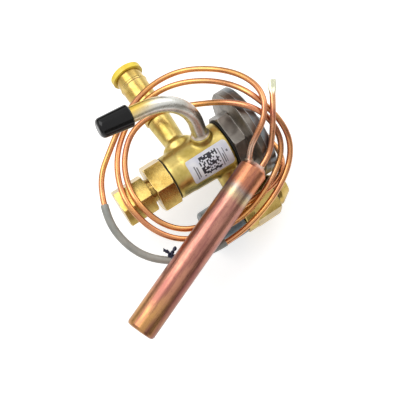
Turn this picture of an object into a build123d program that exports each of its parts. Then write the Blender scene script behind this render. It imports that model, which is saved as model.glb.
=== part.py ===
from build123d import *
from math import cos, hypot, pi, radians, sin, tan
import os

os.makedirs("parts", exist_ok=True)

# A thermostatic expansion valve with an external equalizer, in millimetres.
# The origin is the centre of the outlet socket's mouth. +Y points out of the outlet,
# +X runs along the valve's axis from the seal cap to the power element, and +Z is up.

# Clearances
running_gap = 0.05      # radial, between a piece and the bore that it moves in
thread_gap = 0.10       # radial, between two plain cylinders that stand for a thread
braze_gap = 0.05        # the gap that a brazing filler fills
seat_gap = 0.02         # between two faces that only touch
piece_gap = 0.30        # between pieces that pass each other

# Valve body, measured from the outlet's axis along X
outlet_reach = 52.0     # valve axis to the mouth of the outlet socket
body_start_x = -10.7
body_step_x = -4.4
body_end_x = 16.8
body_start_r = 9.9
body_step_r = 10.2
body_end_r = 10.9
body_edge = 0.5
spring_bore_r = 5.6
bonnet_thread_r = 7.2
bonnet_thread_length = 5.2
chamber_end_x = 3.2
seat_bore_r = 3.0
gallery_r = 2.5
gallery_end_x = 12.2
element_bore_r = 6.0
element_bore_x = 13.9
element_neck_r = 8.0
element_neck_length = 5.4
rod_r = 0.8
rod_offset = 4.3

# Outlet
neck_base_r = 4.7
neck_tip_r = 5.5
neck_length = 25.6      # from the valve axis to the shoulder where the fitting starts
neck_pad_r = 7.2
neck_pad_reach = 11.2
neck_spigot_r = 4.0
neck_spigot_length = 6.0
outlet_passage_r = 2.8
outlet_r = 6.0
socket_r = 4.8
socket_depth = 10.0
fitting_passage_r = 3.6
bead_from_mouth = 6.4
bead_r = 0.35

# Equalizer connection
equalizer_x = 8.3
equalizer_tilt = 23.0   # degrees from +Z towards +Y
equalizer_r = 3.175
equalizer_wall = 0.8
equalizer_boss_r = 4.4
equalizer_boss_reach = 13.2
equalizer_socket_depth = 3.4
equalizer_rise = 19.5   # valve axis to the start of the bend
equalizer_bend_r = 20.7
equalizer_bend_angle = 81.0
equalizer_tail = 15.5   # straight length after the bend
equalizer_hole_r = 1.5

# Inlet branch
inlet_angle = 30.0      # degrees from -Y towards -Z
inlet_reach = 28.4      # valve axis to the inlet's axis
trunk_x = 11.7
trunk_r = 4.9
trunk_bore_x = 9.8
trunk_bore_r = 2.4
inlet_hex_af = 18.4
inlet_hex_start_x = 11.6
inlet_hex_end_x = 23.6
inlet_flange_r = 9.9
inlet_flange_length = 4.9
inlet_thread_r = 7.9
inlet_thread_length = 12.5
inlet_bore_r = 5.6
inlet_mouth_r = 3.6
inlet_cap_r = 9.2
inlet_cap_end = 1.6
inlet_cap_depth = 15.2
inlet_nose = 2.2        # length and depth of the flare's cone
strainer_start_x = -2.6
strainer_end_x = 17.2
strainer_lip = 0.6
strainer_rows = 6
strainer_columns = 8
strainer_hole_r = 0.7
strainer_r = 4.6
strainer_wall = 0.4
plug_head_r = 7.4
plug_head_length = 6.6
plug_thread_length = 6.0
plug_thread_r = 6.35
plug_washer = 0.8
plug_drive_af = 5.0
plug_drive_depth = 3.0

# Bonnet, stem and seal cap
bonnet_hex_af = 19.5
bonnet_length = 8.3
bonnet_spigot_length = 5.5
bonnet_gasket_thickness = 0.5
bonnet_bore_r = 5.3
bonnet_floor = 3.0      # thickness of the bonnet's end round the stem
stub_r = 5.1
stub_length = 8.2
stem_r = 2.2
stem_collar_r = 4.0
stem_collar_length = 1.2
stem_square = 3.0
stem_square_length = 3.6
packing_r = 3.5
packing_length = 2.6
gland_length = 2.2
stem_inner_x = -9.0
spring_seat_r = 5.1
spring_seat_length = 3.0
spring_seat_x = -13.8
key_width = 1.6
key_height = 0.6
stem_pitch = 1.0        # travel of the spring seat in one turn of the stem
seal_cap_af = 15.2
seal_cap_length = 13.4
seal_cap_start_gap = 1.7
seal_cap_end_wall = 1.5

# Pin and spring
orifice_r = 1.3
seat_length = 3.6
pin_r = 1.6
pin_tip_r = 0.4
pin_lead = 0.6          # length of the cone that stands outside the orifice
pin_cone = 2.2
pin_length = 4.0
carrier_x = -2.4
carrier_r = 5.3
carrier_length = 2.6
carrier_spigot_r = 2.3
carrier_spigot_length = 2.4
spring_wire_r = 0.6
spring_mean_r = 3.9
spring_turns = 4.5
buffer_disc_r = 12.0
buffer_disc_thickness = 1.4
buffer_hub_r = 5.7

# Power element
element_gasket_thickness = 0.6
element_gasket_r = 11.4
collar_af = 23.4
collar_length = 5.5
element_r = 20.4
element_base_depth = 3.9
element_flank_r = 14.2
element_rim_depth = 2.9
element_cavity_r = 16.6
element_cavity_depth = 2.8
element_edge = 0.4
diaphragm_thickness = 0.3
diaphragm_edge = 1.6    # width of the rim that the two halves clamp
rim_length = 2.9
cover_dome_r = 17.6
cover_crown = 2.4
cover_wall = 1.1
cover_boss_r = 3.4
cover_boss_length = 3.4
cover_port_r = 0.8

# Caps on the connections
outlet_cap_r = 7.3
outlet_cap_skirt = 1.4
outlet_cap_end = 1.3
equalizer_cap_length = 13.2
equalizer_cap_mouth_r = 4.5
equalizer_cap_tip_r = 4.0
equalizer_cap_depth = 10.0
equalizer_cap_round = 1.9

# Sensing bulb and its capillary
bulb_r = 6.0
bulb_wall = 0.8
bulb_length = 79.4
bulb_end = Vector(19.3, -70.7, 10.5)    # centre of the end that the two tubes enter
bulb_heading = 21.2     # degrees from +X towards +Y
bulb_slope = 4.0        # degrees above level
bulb_flat_r = 4.4
bulb_taper = 2.2
bulb_foot_round = 1.2
tube_offset = 2.3       # from the bulb's axis to the capillary and to the fill tube
tube_depth = 2.4
capillary_r = 1.2
sleeve_wall = 0.3
tube_clearance = 0.05
fill_flat_length = 4.5
fill_flat_thickness = 1.1
fill_flat_width = 3.2
tie_centre = (-28.2, -82.0, -0.6)
tie_heading = (-0.86, 0.50, 0.10)       # direction of the strand that it is tied round
tie_reach = 5.4
tie_opening = 3.7
tie_thickness = 0.5
tie_ribbon = 2.4
tie_tail_r = 0.8
tie_tail_length = 6.0
tie_tail_dir = (-0.15, 0.9, 0.4)

# Label
label_thickness = 0.12
label_start_x = -3.7
label_length = 19.2
label_middle_angle = 37.5   # degrees from +Z towards -Y
label_span = 61.0
label_corner = 1.6

# Places that follow from the dimensions above
axis_y = -outlet_reach
inlet_y = axis_y - inlet_reach * cos(radians(inlet_angle))
inlet_z = -inlet_reach * sin(radians(inlet_angle))
valve_plane = Plane(origin=(0, axis_y, 0), x_dir=(1, 0, 0), z_dir=(0, 0, 1))
outlet_plane = Plane(origin=(0, 0, 0), x_dir=(0, 1, 0), z_dir=(1, 0, 0))
inlet_plane = Plane(origin=(0, inlet_y, inlet_z), x_dir=(1, 0, 0), z_dir=(0, 0, 1))
equalizer_dir = Vector(0, sin(radians(equalizer_tilt)), cos(radians(equalizer_tilt)))
trunk_dir = Vector(0, -cos(radians(inlet_angle)), -sin(radians(inlet_angle)))
neck_plane = Plane(origin=(0, axis_y, 0), x_dir=(0, 1, 0), z_dir=(1, 0, 0))
boss_plane = Plane(origin=(equalizer_x, axis_y, 0), x_dir=equalizer_dir, z_dir=(1, 0, 0))
trunk_plane = Plane(origin=(trunk_x, axis_y, 0), x_dir=trunk_dir, z_dir=(1, 0, 0))
trunk_bore_plane = Plane(origin=(trunk_bore_x, axis_y, 0), x_dir=trunk_dir, z_dir=(1, 0, 0))
tube_plane = Plane(
    origin=(equalizer_x, axis_y, 0), x_dir=(-1, 0, 0),
    z_dir=(0, cos(radians(equalizer_tilt)), -sin(radians(equalizer_tilt))))
gasket_end_x = body_end_x + element_gasket_thickness
diaphragm_x = gasket_end_x + collar_length + element_base_depth
bonnet_start_x = body_start_x - bonnet_gasket_thickness
bonnet_end_x = bonnet_start_x - bonnet_length
stub_end_x = bonnet_end_x - stub_length
bonnet_floor_x = bonnet_end_x + bonnet_floor
packing_x = stub_end_x + gland_length


def turned(plane, outline):
    """A piece turned about the plane's own x axis, from points (along, radius)."""
    with BuildPart() as piece:
        with BuildSketch(plane):
            with BuildLine():
                Polyline(*outline, close=True)
            make_face()
        revolve(axis=Axis(plane.origin, plane.x_dir))
    return piece


def across(plane, along):
    """A plane square to the given plane's x axis, at a distance along it."""
    return Plane(origin=plane.origin + plane.x_dir * along, x_dir=plane.z_dir, z_dir=plane.x_dir)


def save(piece, name):
    """Label a finished piece and write it as its own STEP file."""
    piece.part.label = name
    export_step(piece.part, f"parts/{name}.step")


def hex_bar(plane, start, length, across_flats, chamfer_size, rotation):
    """A hexagon bar along the plane's x axis, its two ends turned to a chamfer."""
    corner_r = across_flats / 2 / cos(pi / 6)
    with BuildPart() as bar:
        with BuildSketch(across(plane, start)):
            RegularPolygon(radius=corner_r, side_count=6, rotation=rotation)
        extrude(amount=length)
        with BuildSketch(plane):
            with BuildLine():
                Polyline(
                    (start, 0), (start, corner_r - chamfer_size), (start + chamfer_size * 0.6, corner_r),
                    (start + length - chamfer_size * 0.6, corner_r),
                    (start + length, corner_r - chamfer_size),
                    (start + length, 0), close=True)
            make_face()
        revolve(axis=Axis(plane.origin, plane.x_dir), mode=Mode.INTERSECT)
    return bar


# The capillary's route, from the element's boss, three times round the valve, to the bulb
capillary_route = [
    (33.6, -53.5, 0.0), (33.6, -59.5, 0.0), (34.2, -67.9, 0.5), (31.2, -74.3, 0.9),
    (25.6, -78.3, 1.0), (16.5, -79.1, 0.8), (7.0, -79.2, 0.7), (-4.0, -78.0, 0.9),
    (-16.3, -75.9, 1.2), (-24.4, -69.0, 4.8), (-28.3, -59.3, 10.6), (-27.9, -48.9, 11.2),
    (-23.0, -37.5, 10.0), (-14.0, -29.0, 10.0), (-2.2, -27.2, 10.2), (9.0, -31.6, 11.0),
    (17.0, -37.8, 15.0), (22.4, -44.6, 21.2), (27.9, -51.6, 23.6), (31.5, -57.6, 22.3),
    (33.8, -62.2, 17.0), (33.8, -68.0, 11.6), (29.6, -73.4, 7.2), (20.4, -78.6, 4.4),
    (6.8, -83.3, 2.0), (-7.7, -82.4, 1.0), (-20.3, -78.4, 1.0), (-28.8, -69.3, 4.8),
    (-32.3, -57.2, 10.8), (-30.6, -46.7, 10.8), (-25.5, -36.0, 10.0), (-17.4, -27.4, 9.0),
    (-6.9, -21.2, 9.4), (5.1, -19.4, 9.8), (15.7, -23.0, 12.2), (24.6, -31.6, 17.0),
    (29.8, -42.1, 22.6), (32.5, -50.6, 24.0), (35.1, -57.3, 21.0), (37.3, -63.8, 15.8),
    (37.0, -70.0, 10.2), (32.8, -75.8, 5.8), (25.1, -80.9, 3.2), (14.0, -85.2, 0.8),
    (0.2, -87.9, -0.4), (-14.8, -87.2, -1.0), (-28.3, -82.8, -1.0), (-38.4, -73.7, 1.6),
    (-42.3, -61.8, 8.6), (-40.1, -50.7, 11.4), (-34.8, -39.1, 10.8), (-26.1, -32.1, 11.2),
    (-16.3, -24.6, 11.6), (-5.1, -18.3, 11.2), (7.0, -15.7, 11.0), (18.7, -18.4, 12.8),
    (28.2, -27.8, 17.6), (33.6, -37.8, 22.4), (35.5, -47.6, 25.6), (33.6, -55.4, 26.6),
    (29.0, -61.0, 24.6), (24.2, -63.2, 20.4), (20.1, -64.9, 14.6), (17.8, -68.1, 10.9),
]
sleeve_first = 45       # the run of the route on which the sleeve starts
sleeve_last = 49        # the run on which it ends
fill_route = [
    (19.0, -73.0, 10.7), (24.8, -71.0, 12.2), (28.9, -67.6, 15.5), (32.1, -63.2, 21.4),
    (35.9, -57.7, 24.2), (39.0, -52.8, 25.4),
]


def rod_places():
    """Where the two push rods stand in the plane across the valve's axis."""
    turn = radians(180 - inlet_angle)
    side = (rod_offset * sin(turn), rod_offset * cos(turn))
    return [side, (-side[0], -side[1])]


# Inlet housing: hexagon, flange and flare thread, bored from the far end for the strainer
inlet_thread_end_x = inlet_hex_start_x - inlet_flange_length
inlet_thread_start_x = inlet_thread_end_x - inlet_thread_length
with BuildPart() as inlet_housing:
    add(hex_bar(
        inlet_plane, inlet_hex_start_x, inlet_hex_end_x - inlet_hex_start_x, inlet_hex_af, 0.9, 0).part)
    add(turned(inlet_plane, [
        (inlet_thread_start_x, 0), (inlet_thread_start_x, inlet_thread_r - inlet_nose - 0.6),
        (inlet_thread_start_x + inlet_nose, inlet_thread_r - 0.6),
        (inlet_thread_start_x + inlet_nose + 0.6, inlet_thread_r),
        (inlet_thread_end_x, inlet_thread_r), (inlet_thread_end_x, inlet_flange_r - 0.4),
        (inlet_thread_end_x + 0.4, inlet_flange_r), (inlet_hex_start_x, inlet_flange_r),
        (inlet_hex_start_x, 0)]).part)
    add(turned(inlet_plane, [
        (inlet_thread_start_x - 1, 0), (inlet_thread_start_x - 1, inlet_mouth_r),
        (strainer_start_x, inlet_mouth_r),
        (strainer_start_x, inlet_bore_r), (inlet_hex_end_x - plug_thread_length, inlet_bore_r),
        (inlet_hex_end_x - plug_thread_length, plug_thread_r + thread_gap),
        (inlet_hex_end_x + 1, plug_thread_r + thread_gap),
        (inlet_hex_end_x + 1, 0)]).part, mode=Mode.SUBTRACT)
    with BuildSketch(across(trunk_bore_plane, inlet_reach - inlet_hex_af)):
        Circle(trunk_bore_r)
    extrude(amount=inlet_hex_af - 1, mode=Mode.SUBTRACT)
save(inlet_housing, "inlet_housing")

# Valve body
with BuildPart() as valve_body:
    add(turned(valve_plane, [
        (body_start_x, 0), (body_start_x, body_start_r - body_edge),
        (body_start_x + body_edge, body_start_r),
        (body_step_x, body_start_r), (body_step_x + body_edge, body_step_r),
        (body_end_x - body_edge, body_end_r),
        (body_end_x, body_end_r - body_edge), (body_end_x, element_neck_r),
        (body_end_x + element_neck_length, element_neck_r), (body_end_x + element_neck_length, 0)]).part)
    add(turned(neck_plane, [
        (0, 0), (0, neck_pad_r), (neck_pad_reach - 0.5, neck_pad_r), (neck_pad_reach, neck_pad_r - 0.5),
        (neck_pad_reach + 1.6, neck_base_r), (neck_length - 0.6, neck_tip_r),
        (neck_length, neck_tip_r - 0.4),
        (neck_length, neck_spigot_r), (neck_length + neck_spigot_length, neck_spigot_r),
        (neck_length + neck_spigot_length, 0)]).part)
    add(turned(boss_plane, [
        (0, 0), (0, equalizer_boss_r), (equalizer_boss_reach - 0.5, equalizer_boss_r),
        (equalizer_boss_reach, equalizer_boss_r - 0.5), (equalizer_boss_reach, 0)]).part)
    add(turned(trunk_plane, [(0, 0), (0, trunk_r), (inlet_reach - 6, trunk_r), (inlet_reach - 6, 0)]).part)
    # The trunk's end is hollowed to fit the inlet housing
    add(hex_bar(
        inlet_plane, inlet_hex_start_x - braze_gap, inlet_hex_end_x - inlet_hex_start_x,
        inlet_hex_af + 2 * braze_gap, 0.9, 0).part, mode=Mode.SUBTRACT)
    add(turned(inlet_plane, [
        (inlet_thread_end_x - braze_gap, 0), (inlet_thread_end_x - braze_gap, inlet_flange_r + braze_gap),
        (inlet_hex_start_x + braze_gap, inlet_flange_r + braze_gap),
        (inlet_hex_start_x + braze_gap, 0)]).part,
        mode=Mode.SUBTRACT)
    # Bonnet thread, spring chamber, orifice seat's bore and gallery
    add(turned(valve_plane, [
        (body_start_x - 1, 0), (body_start_x - 1, bonnet_thread_r),
        (body_start_x + bonnet_thread_length, bonnet_thread_r),
        (body_start_x + bonnet_thread_length, spring_bore_r), (chamber_end_x, spring_bore_r),
        (chamber_end_x, seat_bore_r), (chamber_end_x + seat_length, seat_bore_r),
        (chamber_end_x + seat_length, gallery_r),
        (gallery_end_x, gallery_r), (gallery_end_x, 0)]).part, mode=Mode.SUBTRACT)
    # Cavity under the diaphragm
    with BuildSketch(across(valve_plane, element_bore_x)):
        Circle(element_bore_r)
    extrude(amount=20, mode=Mode.SUBTRACT)
    # Holes for the two push rods
    with BuildSketch(across(valve_plane, chamber_end_x - 0.5)):
        with Locations(*rod_places()):
            Circle(rod_r + running_gap)
    extrude(amount=element_bore_x - chamber_end_x + 1, mode=Mode.SUBTRACT)
    # Outlet passage, inlet passage and equalizer passage
    with BuildSketch(across(neck_plane, 0)):
        Circle(outlet_passage_r)
    extrude(amount=neck_length + neck_spigot_length + 1, mode=Mode.SUBTRACT)
    with BuildSketch(across(trunk_bore_plane, 0)):
        Circle(trunk_bore_r)
    extrude(amount=inlet_reach, mode=Mode.SUBTRACT)
    socket_floor = equalizer_boss_reach - equalizer_socket_depth
    with BuildSketch(across(boss_plane, socket_floor)):
        Circle(equalizer_r + braze_gap)
    extrude(amount=equalizer_socket_depth + 1, mode=Mode.SUBTRACT)
    passage_start = boss_plane.origin + equalizer_dir * (socket_floor + 1)
    passage_end = Vector(element_bore_x + 1.6, axis_y, 0) + equalizer_dir * (element_bore_r - 0.6)
    passage = passage_end - passage_start
    with BuildSketch(Plane(origin=passage_start, z_dir=passage)):
        Circle(equalizer_hole_r)
    extrude(amount=passage.length, mode=Mode.SUBTRACT)
save(valve_body, "valve_body")

# Outlet fitting, brazed over the neck's spigot, with a raised bead behind the socket
fitting_start = neck_length - outlet_reach
spigot_end = fitting_start + neck_spigot_length
fitting = turned(outlet_plane, [
    (fitting_start, neck_spigot_r + braze_gap), (fitting_start, outlet_r - 0.4),
    (fitting_start + 0.4, outlet_r),
    (-bead_from_mouth - 2 * bead_r, outlet_r), (-bead_from_mouth - bead_r, outlet_r + bead_r),
    (-bead_from_mouth + bead_r, outlet_r + bead_r), (-bead_from_mouth + 2 * bead_r, outlet_r),
    (0, outlet_r),
    (0, socket_r), (-socket_depth, socket_r), (-socket_depth, fitting_passage_r),
    (spigot_end, fitting_passage_r),
    (spigot_end, neck_spigot_r + braze_gap)])
save(fitting, "outlet_fitting")

# Shipping cap over the outlet
outlet_cap = turned(outlet_plane, [
    (-outlet_cap_skirt, outlet_r + running_gap), (-outlet_cap_skirt, outlet_cap_r),
    (outlet_cap_end - 0.4, outlet_cap_r),
    (outlet_cap_end, outlet_cap_r - 0.5), (outlet_cap_end, 0), (seat_gap, 0),
    (seat_gap, outlet_r + running_gap)])
save(outlet_cap, "outlet_cap")

# Equalizer tube: up out of its boss, bent over, then straight to its open end
with BuildPart() as equalizer_tube:
    with BuildLine(tube_plane) as equalizer_path:
        Line((0, socket_floor + seat_gap), (0, equalizer_rise))
        bend = CenterArc((equalizer_bend_r, equalizer_rise), equalizer_bend_r, 180, -equalizer_bend_angle)
        tail_angle = radians(90 - equalizer_bend_angle)
        bend_end = (
            equalizer_bend_r - equalizer_bend_r * sin(tail_angle),
            equalizer_rise + equalizer_bend_r * cos(tail_angle))
        tube_end = (
            bend_end[0] + equalizer_tail * cos(tail_angle),
            bend_end[1] + equalizer_tail * sin(tail_angle))
        Line(bend_end, tube_end)
    with BuildSketch(across(boss_plane, socket_floor + seat_gap)):
        Circle(equalizer_r)
        Circle(equalizer_r - equalizer_wall, mode=Mode.SUBTRACT)
    sweep(path=equalizer_path.wires()[0])
save(equalizer_tube, "equalizer_tube")

braze_ring = turned(boss_plane, [
    (equalizer_boss_reach + seat_gap, equalizer_r + seat_gap),
    (equalizer_boss_reach + seat_gap, equalizer_boss_r - 0.5),
    (equalizer_boss_reach + 0.5, equalizer_boss_r - 0.9),
    (equalizer_boss_reach + 1.1, equalizer_r + seat_gap)])
save(braze_ring, "equalizer_braze_ring")

# Rubber cap pushed over the tube's end
tail_dir = tube_plane.x_dir * cos(tail_angle) + tube_plane.y_dir * sin(tail_angle)
tube_end_point = tube_plane.from_local_coords(Vector(tube_end[0], tube_end[1], 0))
cap_plane = Plane(
    origin=tube_end_point - tail_dir * equalizer_cap_depth, x_dir=tail_dir, z_dir=tube_plane.z_dir)
with BuildPart() as equalizer_cap:
    with BuildSketch(cap_plane):
        with BuildLine():
            Polyline(
                (equalizer_cap_length, 0), (equalizer_cap_depth + seat_gap, 0),
                (equalizer_cap_depth + seat_gap, equalizer_r + running_gap),
                (0, equalizer_r + running_gap),
                (0, equalizer_cap_mouth_r - 0.5), (0.5, equalizer_cap_mouth_r),
                (equalizer_cap_length - equalizer_cap_round, equalizer_cap_tip_r))
            tip_rise = equalizer_cap_tip_r - equalizer_cap_round
            RadiusArc(
                (equalizer_cap_length - equalizer_cap_round, equalizer_cap_tip_r),
                (equalizer_cap_length, tip_rise), equalizer_cap_round)
            Line((equalizer_cap_length, tip_rise), (equalizer_cap_length, 0))
        make_face()
    revolve(axis=Axis(cap_plane.origin, cap_plane.x_dir))
save(equalizer_cap, "equalizer_cap")

# Plated cap over the inlet's flare thread
cap_end_x = inlet_thread_end_x - seat_gap - inlet_cap_depth
inlet_cap = turned(inlet_plane, [
    (cap_end_x, 0), (cap_end_x, inlet_cap_r - 0.7), (cap_end_x + 0.7, inlet_cap_r),
    (inlet_thread_end_x - 0.7, inlet_cap_r), (inlet_thread_end_x - piece_gap, inlet_cap_r - 0.4),
    (inlet_thread_end_x - piece_gap, inlet_thread_r + thread_gap),
    (cap_end_x + inlet_cap_end, inlet_thread_r + thread_gap),
    (cap_end_x + inlet_cap_end, 0)])
save(inlet_cap, "inlet_cap")

# Strainer: a lipped cup of perforated sheet, open towards the inlet
with BuildPart() as strainer:
    add(turned(inlet_plane, [
        (strainer_start_x + seat_gap, strainer_r - strainer_wall),
        (strainer_start_x + seat_gap, inlet_bore_r - running_gap),
        (strainer_start_x + strainer_lip, inlet_bore_r - running_gap),
        (strainer_start_x + strainer_lip, strainer_r),
        (strainer_end_x, strainer_r), (strainer_end_x, 0), (strainer_end_x - strainer_wall, 0),
        (strainer_end_x - strainer_wall, strainer_r - strainer_wall)]).part)
    row_pitch = (strainer_end_x - strainer_start_x - 4) / (strainer_rows - 1)
    for row in range(strainer_rows):
        row_x = strainer_start_x + 2.4 + row * row_pitch
        for column in range(strainer_columns // 2):
            turn = radians(column * 360 / strainer_columns)
            hole_dir = Vector(0, cos(turn), sin(turn))
            with BuildSketch(Plane(origin=(row_x, inlet_y, inlet_z), z_dir=hole_dir)):
                Circle(strainer_hole_r)
            extrude(amount=strainer_r + 1, both=True, mode=Mode.SUBTRACT)
save(strainer, "inlet_strainer")

# Strainer plug with a rounded head and a hexagon socket, on its gasket
plug_face_x = inlet_hex_end_x + plug_washer
plug_end_x = plug_face_x + plug_head_length
with BuildPart() as strainer_plug:
    add(turned(inlet_plane, [
        (inlet_hex_end_x - plug_thread_length + 0.4, 0),
        (inlet_hex_end_x - plug_thread_length + 0.4, plug_thread_r - 0.5),
        (inlet_hex_end_x - plug_thread_length + 0.9, plug_thread_r), (plug_face_x, plug_thread_r),
        (plug_face_x, plug_head_r), (plug_face_x + 1.8, plug_head_r), (plug_end_x, 4.4),
        (plug_end_x, 0)]).part)
    fillet(strainer_plug.edges().filter_by(GeomType.CIRCLE).filter_by_position(
        Axis.X, plug_face_x + 1.7, plug_face_x + 1.9), radius=1.4)
    with BuildSketch(across(inlet_plane, plug_end_x - plug_drive_depth)):
        RegularPolygon(radius=plug_drive_af / 2 / cos(pi / 6), side_count=6)
    extrude(amount=plug_drive_depth + 1, mode=Mode.SUBTRACT)
save(strainer_plug, "strainer_plug")

plug_gasket = turned(inlet_plane, [
    (inlet_hex_end_x + seat_gap, plug_thread_r + thread_gap),
    (inlet_hex_end_x + seat_gap, plug_head_r + 0.2),
    (plug_face_x - seat_gap, plug_head_r + 0.2), (plug_face_x - seat_gap, plug_thread_r + thread_gap)])
save(plug_gasket, "plug_gasket")

# Orifice seat pressed into the body
orifice_seat = turned(valve_plane, [
    (chamber_end_x, orifice_r), (chamber_end_x, seat_bore_r - seat_gap),
    (chamber_end_x + seat_length - seat_gap, seat_bore_r - seat_gap),
    (chamber_end_x + seat_length - seat_gap, orifice_r + 0.5),
    (chamber_end_x + seat_length - 1.2, orifice_r)])
save(orifice_seat, "orifice_seat")

# Pin and its carrier
cone_x = chamber_end_x - pin_lead
pin = turned(valve_plane, [
    (cone_x - pin_length, 0), (cone_x - pin_length, pin_r), (cone_x, pin_r),
    (cone_x + pin_cone, pin_tip_r),
    (cone_x + pin_cone, 0)])
save(pin, "valve_pin")

carrier_face_x = carrier_x + carrier_length
carrier = turned(valve_plane, [
    (carrier_x - carrier_spigot_length, 0), (carrier_x - carrier_spigot_length, carrier_spigot_r - 0.3),
    (carrier_x - carrier_spigot_length + 0.3, carrier_spigot_r), (carrier_x, carrier_spigot_r),
    (carrier_x, carrier_r),
    (carrier_face_x, carrier_r), (carrier_face_x, pin_r + seat_gap),
    (cone_x - pin_length - seat_gap, pin_r + seat_gap),
    (cone_x - pin_length - seat_gap, 0)])
save(carrier, "pin_carrier")

# Buffer plate under the diaphragm, and the two rods from it to the carrier
buffer_start_x = element_bore_x + 1
buffer_end_x = diaphragm_x - seat_gap
buffer_plate = turned(valve_plane, [
    (buffer_start_x, 0), (buffer_start_x, buffer_hub_r),
    (buffer_end_x - buffer_disc_thickness, buffer_hub_r),
    (buffer_end_x - buffer_disc_thickness, buffer_disc_r), (buffer_end_x, buffer_disc_r),
    (buffer_end_x, 0)])
save(buffer_plate, "buffer_plate")

with BuildPart() as push_rods:
    with BuildSketch(across(valve_plane, carrier_face_x + seat_gap)):
        with Locations(*rod_places()):
            Circle(rod_r)
    extrude(amount=buffer_start_x - carrier_face_x - 2 * seat_gap)
save(push_rods, "push_rods")

# Superheat spring
coil_start_x = spring_seat_x + spring_seat_length + spring_wire_r + seat_gap
coil_end_x = carrier_x - spring_wire_r - seat_gap
coil_length = coil_end_x - coil_start_x
with BuildPart() as spring:
    with BuildLine() as coil:
        Helix(
            pitch=coil_length / spring_turns, height=coil_length, radius=spring_mean_r,
            center=(coil_start_x, axis_y, 0), direction=(1, 0, 0))
    with BuildSketch(Plane(origin=coil.line @ 0, z_dir=coil.line % 0)):
        Circle(spring_wire_r)
    sweep(path=coil.wires()[0], is_frenet=True)
save(spring, "superheat_spring")

# Spring seat with its key, screwed on the stem
seat_end_x = spring_seat_x + spring_seat_length
with BuildPart() as spring_seat:
    add(turned(valve_plane, [
        (spring_seat_x, stem_r + thread_gap), (spring_seat_x, spring_seat_r), (seat_end_x, spring_seat_r),
        (seat_end_x, stem_r + thread_gap)]).part)
    with Locations(Location(((spring_seat_x + seat_end_x) / 2, axis_y, spring_seat_r))):
        Box(spring_seat_length, key_width - 2 * running_gap, 2 * key_height)
save(spring_seat, "spring_seat")

# Adjusting stem with a collar and a square end
with BuildPart() as stem:
    add(turned(valve_plane, [
        (stub_end_x, 0), (stub_end_x, stem_r), (bonnet_floor_x + seat_gap, stem_r),
        (bonnet_floor_x + seat_gap, stem_collar_r), (bonnet_floor_x + stem_collar_length, stem_collar_r),
        (bonnet_floor_x + stem_collar_length, stem_r), (stem_inner_x - 0.4, stem_r),
        (stem_inner_x, stem_r - 0.4),
        (stem_inner_x, 0)]).part)
    with Locations(Location((stub_end_x - stem_square_length / 2 + 0.1, axis_y, 0))):
        Box(stem_square_length + 0.2, stem_square, stem_square)
save(stem, "adjusting_stem")

packing = turned(valve_plane, [
    (packing_x + seat_gap, stem_r + running_gap), (packing_x + seat_gap, packing_r - seat_gap),
    (packing_x + packing_length - seat_gap, packing_r - seat_gap),
    (packing_x + packing_length - seat_gap, stem_r + running_gap)])
save(packing, "stem_packing")

gland = turned(valve_plane, [
    (stub_end_x, stem_r + running_gap), (stub_end_x, packing_r - thread_gap),
    (packing_x, packing_r - thread_gap),
    (packing_x, stem_r + running_gap)])
save(gland, "packing_gland")

# Bonnet: hexagon, spigot screwed into the body, and the stub that the seal cap screws on
with BuildPart() as bonnet:
    add(hex_bar(valve_plane, bonnet_end_x, bonnet_length, bonnet_hex_af, 0.9, 30).part)
    add(turned(valve_plane, [
        (bonnet_start_x, 0), (bonnet_start_x, bonnet_thread_r - thread_gap),
        (bonnet_start_x + bonnet_spigot_length, bonnet_thread_r - thread_gap),
        (bonnet_start_x + bonnet_spigot_length, 0)]).part)
    add(turned(valve_plane, [
        (stub_end_x, 0), (stub_end_x, stub_r - 0.4), (stub_end_x + 0.4, stub_r), (bonnet_end_x, stub_r),
        (bonnet_end_x, 0)]).part)
    add(turned(valve_plane, [
        (stub_end_x - 1, 0), (stub_end_x - 1, packing_r), (packing_x + packing_length, packing_r),
        (packing_x + packing_length, stem_r + running_gap), (bonnet_floor_x, stem_r + running_gap),
        (bonnet_floor_x, bonnet_bore_r), (0, bonnet_bore_r), (0, 0)]).part, mode=Mode.SUBTRACT)
    keyway_length = bonnet_start_x + bonnet_spigot_length - bonnet_floor_x
    with Locations(Location((bonnet_floor_x + keyway_length / 2, axis_y, bonnet_bore_r))):
        Box(keyway_length + 0.2, key_width, 2 * key_height, mode=Mode.SUBTRACT)
save(bonnet, "bonnet")

bonnet_gasket = turned(valve_plane, [
    (bonnet_start_x + seat_gap, bonnet_thread_r + thread_gap),
    (bonnet_start_x + seat_gap, body_start_r - 0.2),
    (body_start_x - seat_gap, body_start_r - 0.2),
    (body_start_x - seat_gap, bonnet_thread_r + thread_gap)])
save(bonnet_gasket, "bonnet_gasket")

# Seal cap
seal_cap_x = bonnet_end_x - seal_cap_start_gap - seal_cap_length
with BuildPart() as seal_cap:
    add(hex_bar(valve_plane, seal_cap_x, seal_cap_length, seal_cap_af, 0.7, 30).part)
    with BuildSketch(across(valve_plane, seal_cap_x + seal_cap_end_wall)):
        Circle(stub_r + thread_gap)
    extrude(amount=seal_cap_length, mode=Mode.SUBTRACT)
save(seal_cap, "seal_cap")

# Power element
element_gasket = turned(valve_plane, [
    (body_end_x + seat_gap, element_neck_r + thread_gap), (body_end_x + seat_gap, element_gasket_r),
    (gasket_end_x - seat_gap, element_gasket_r), (gasket_end_x - seat_gap, element_neck_r + thread_gap)])
save(element_gasket, "element_gasket")

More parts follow.
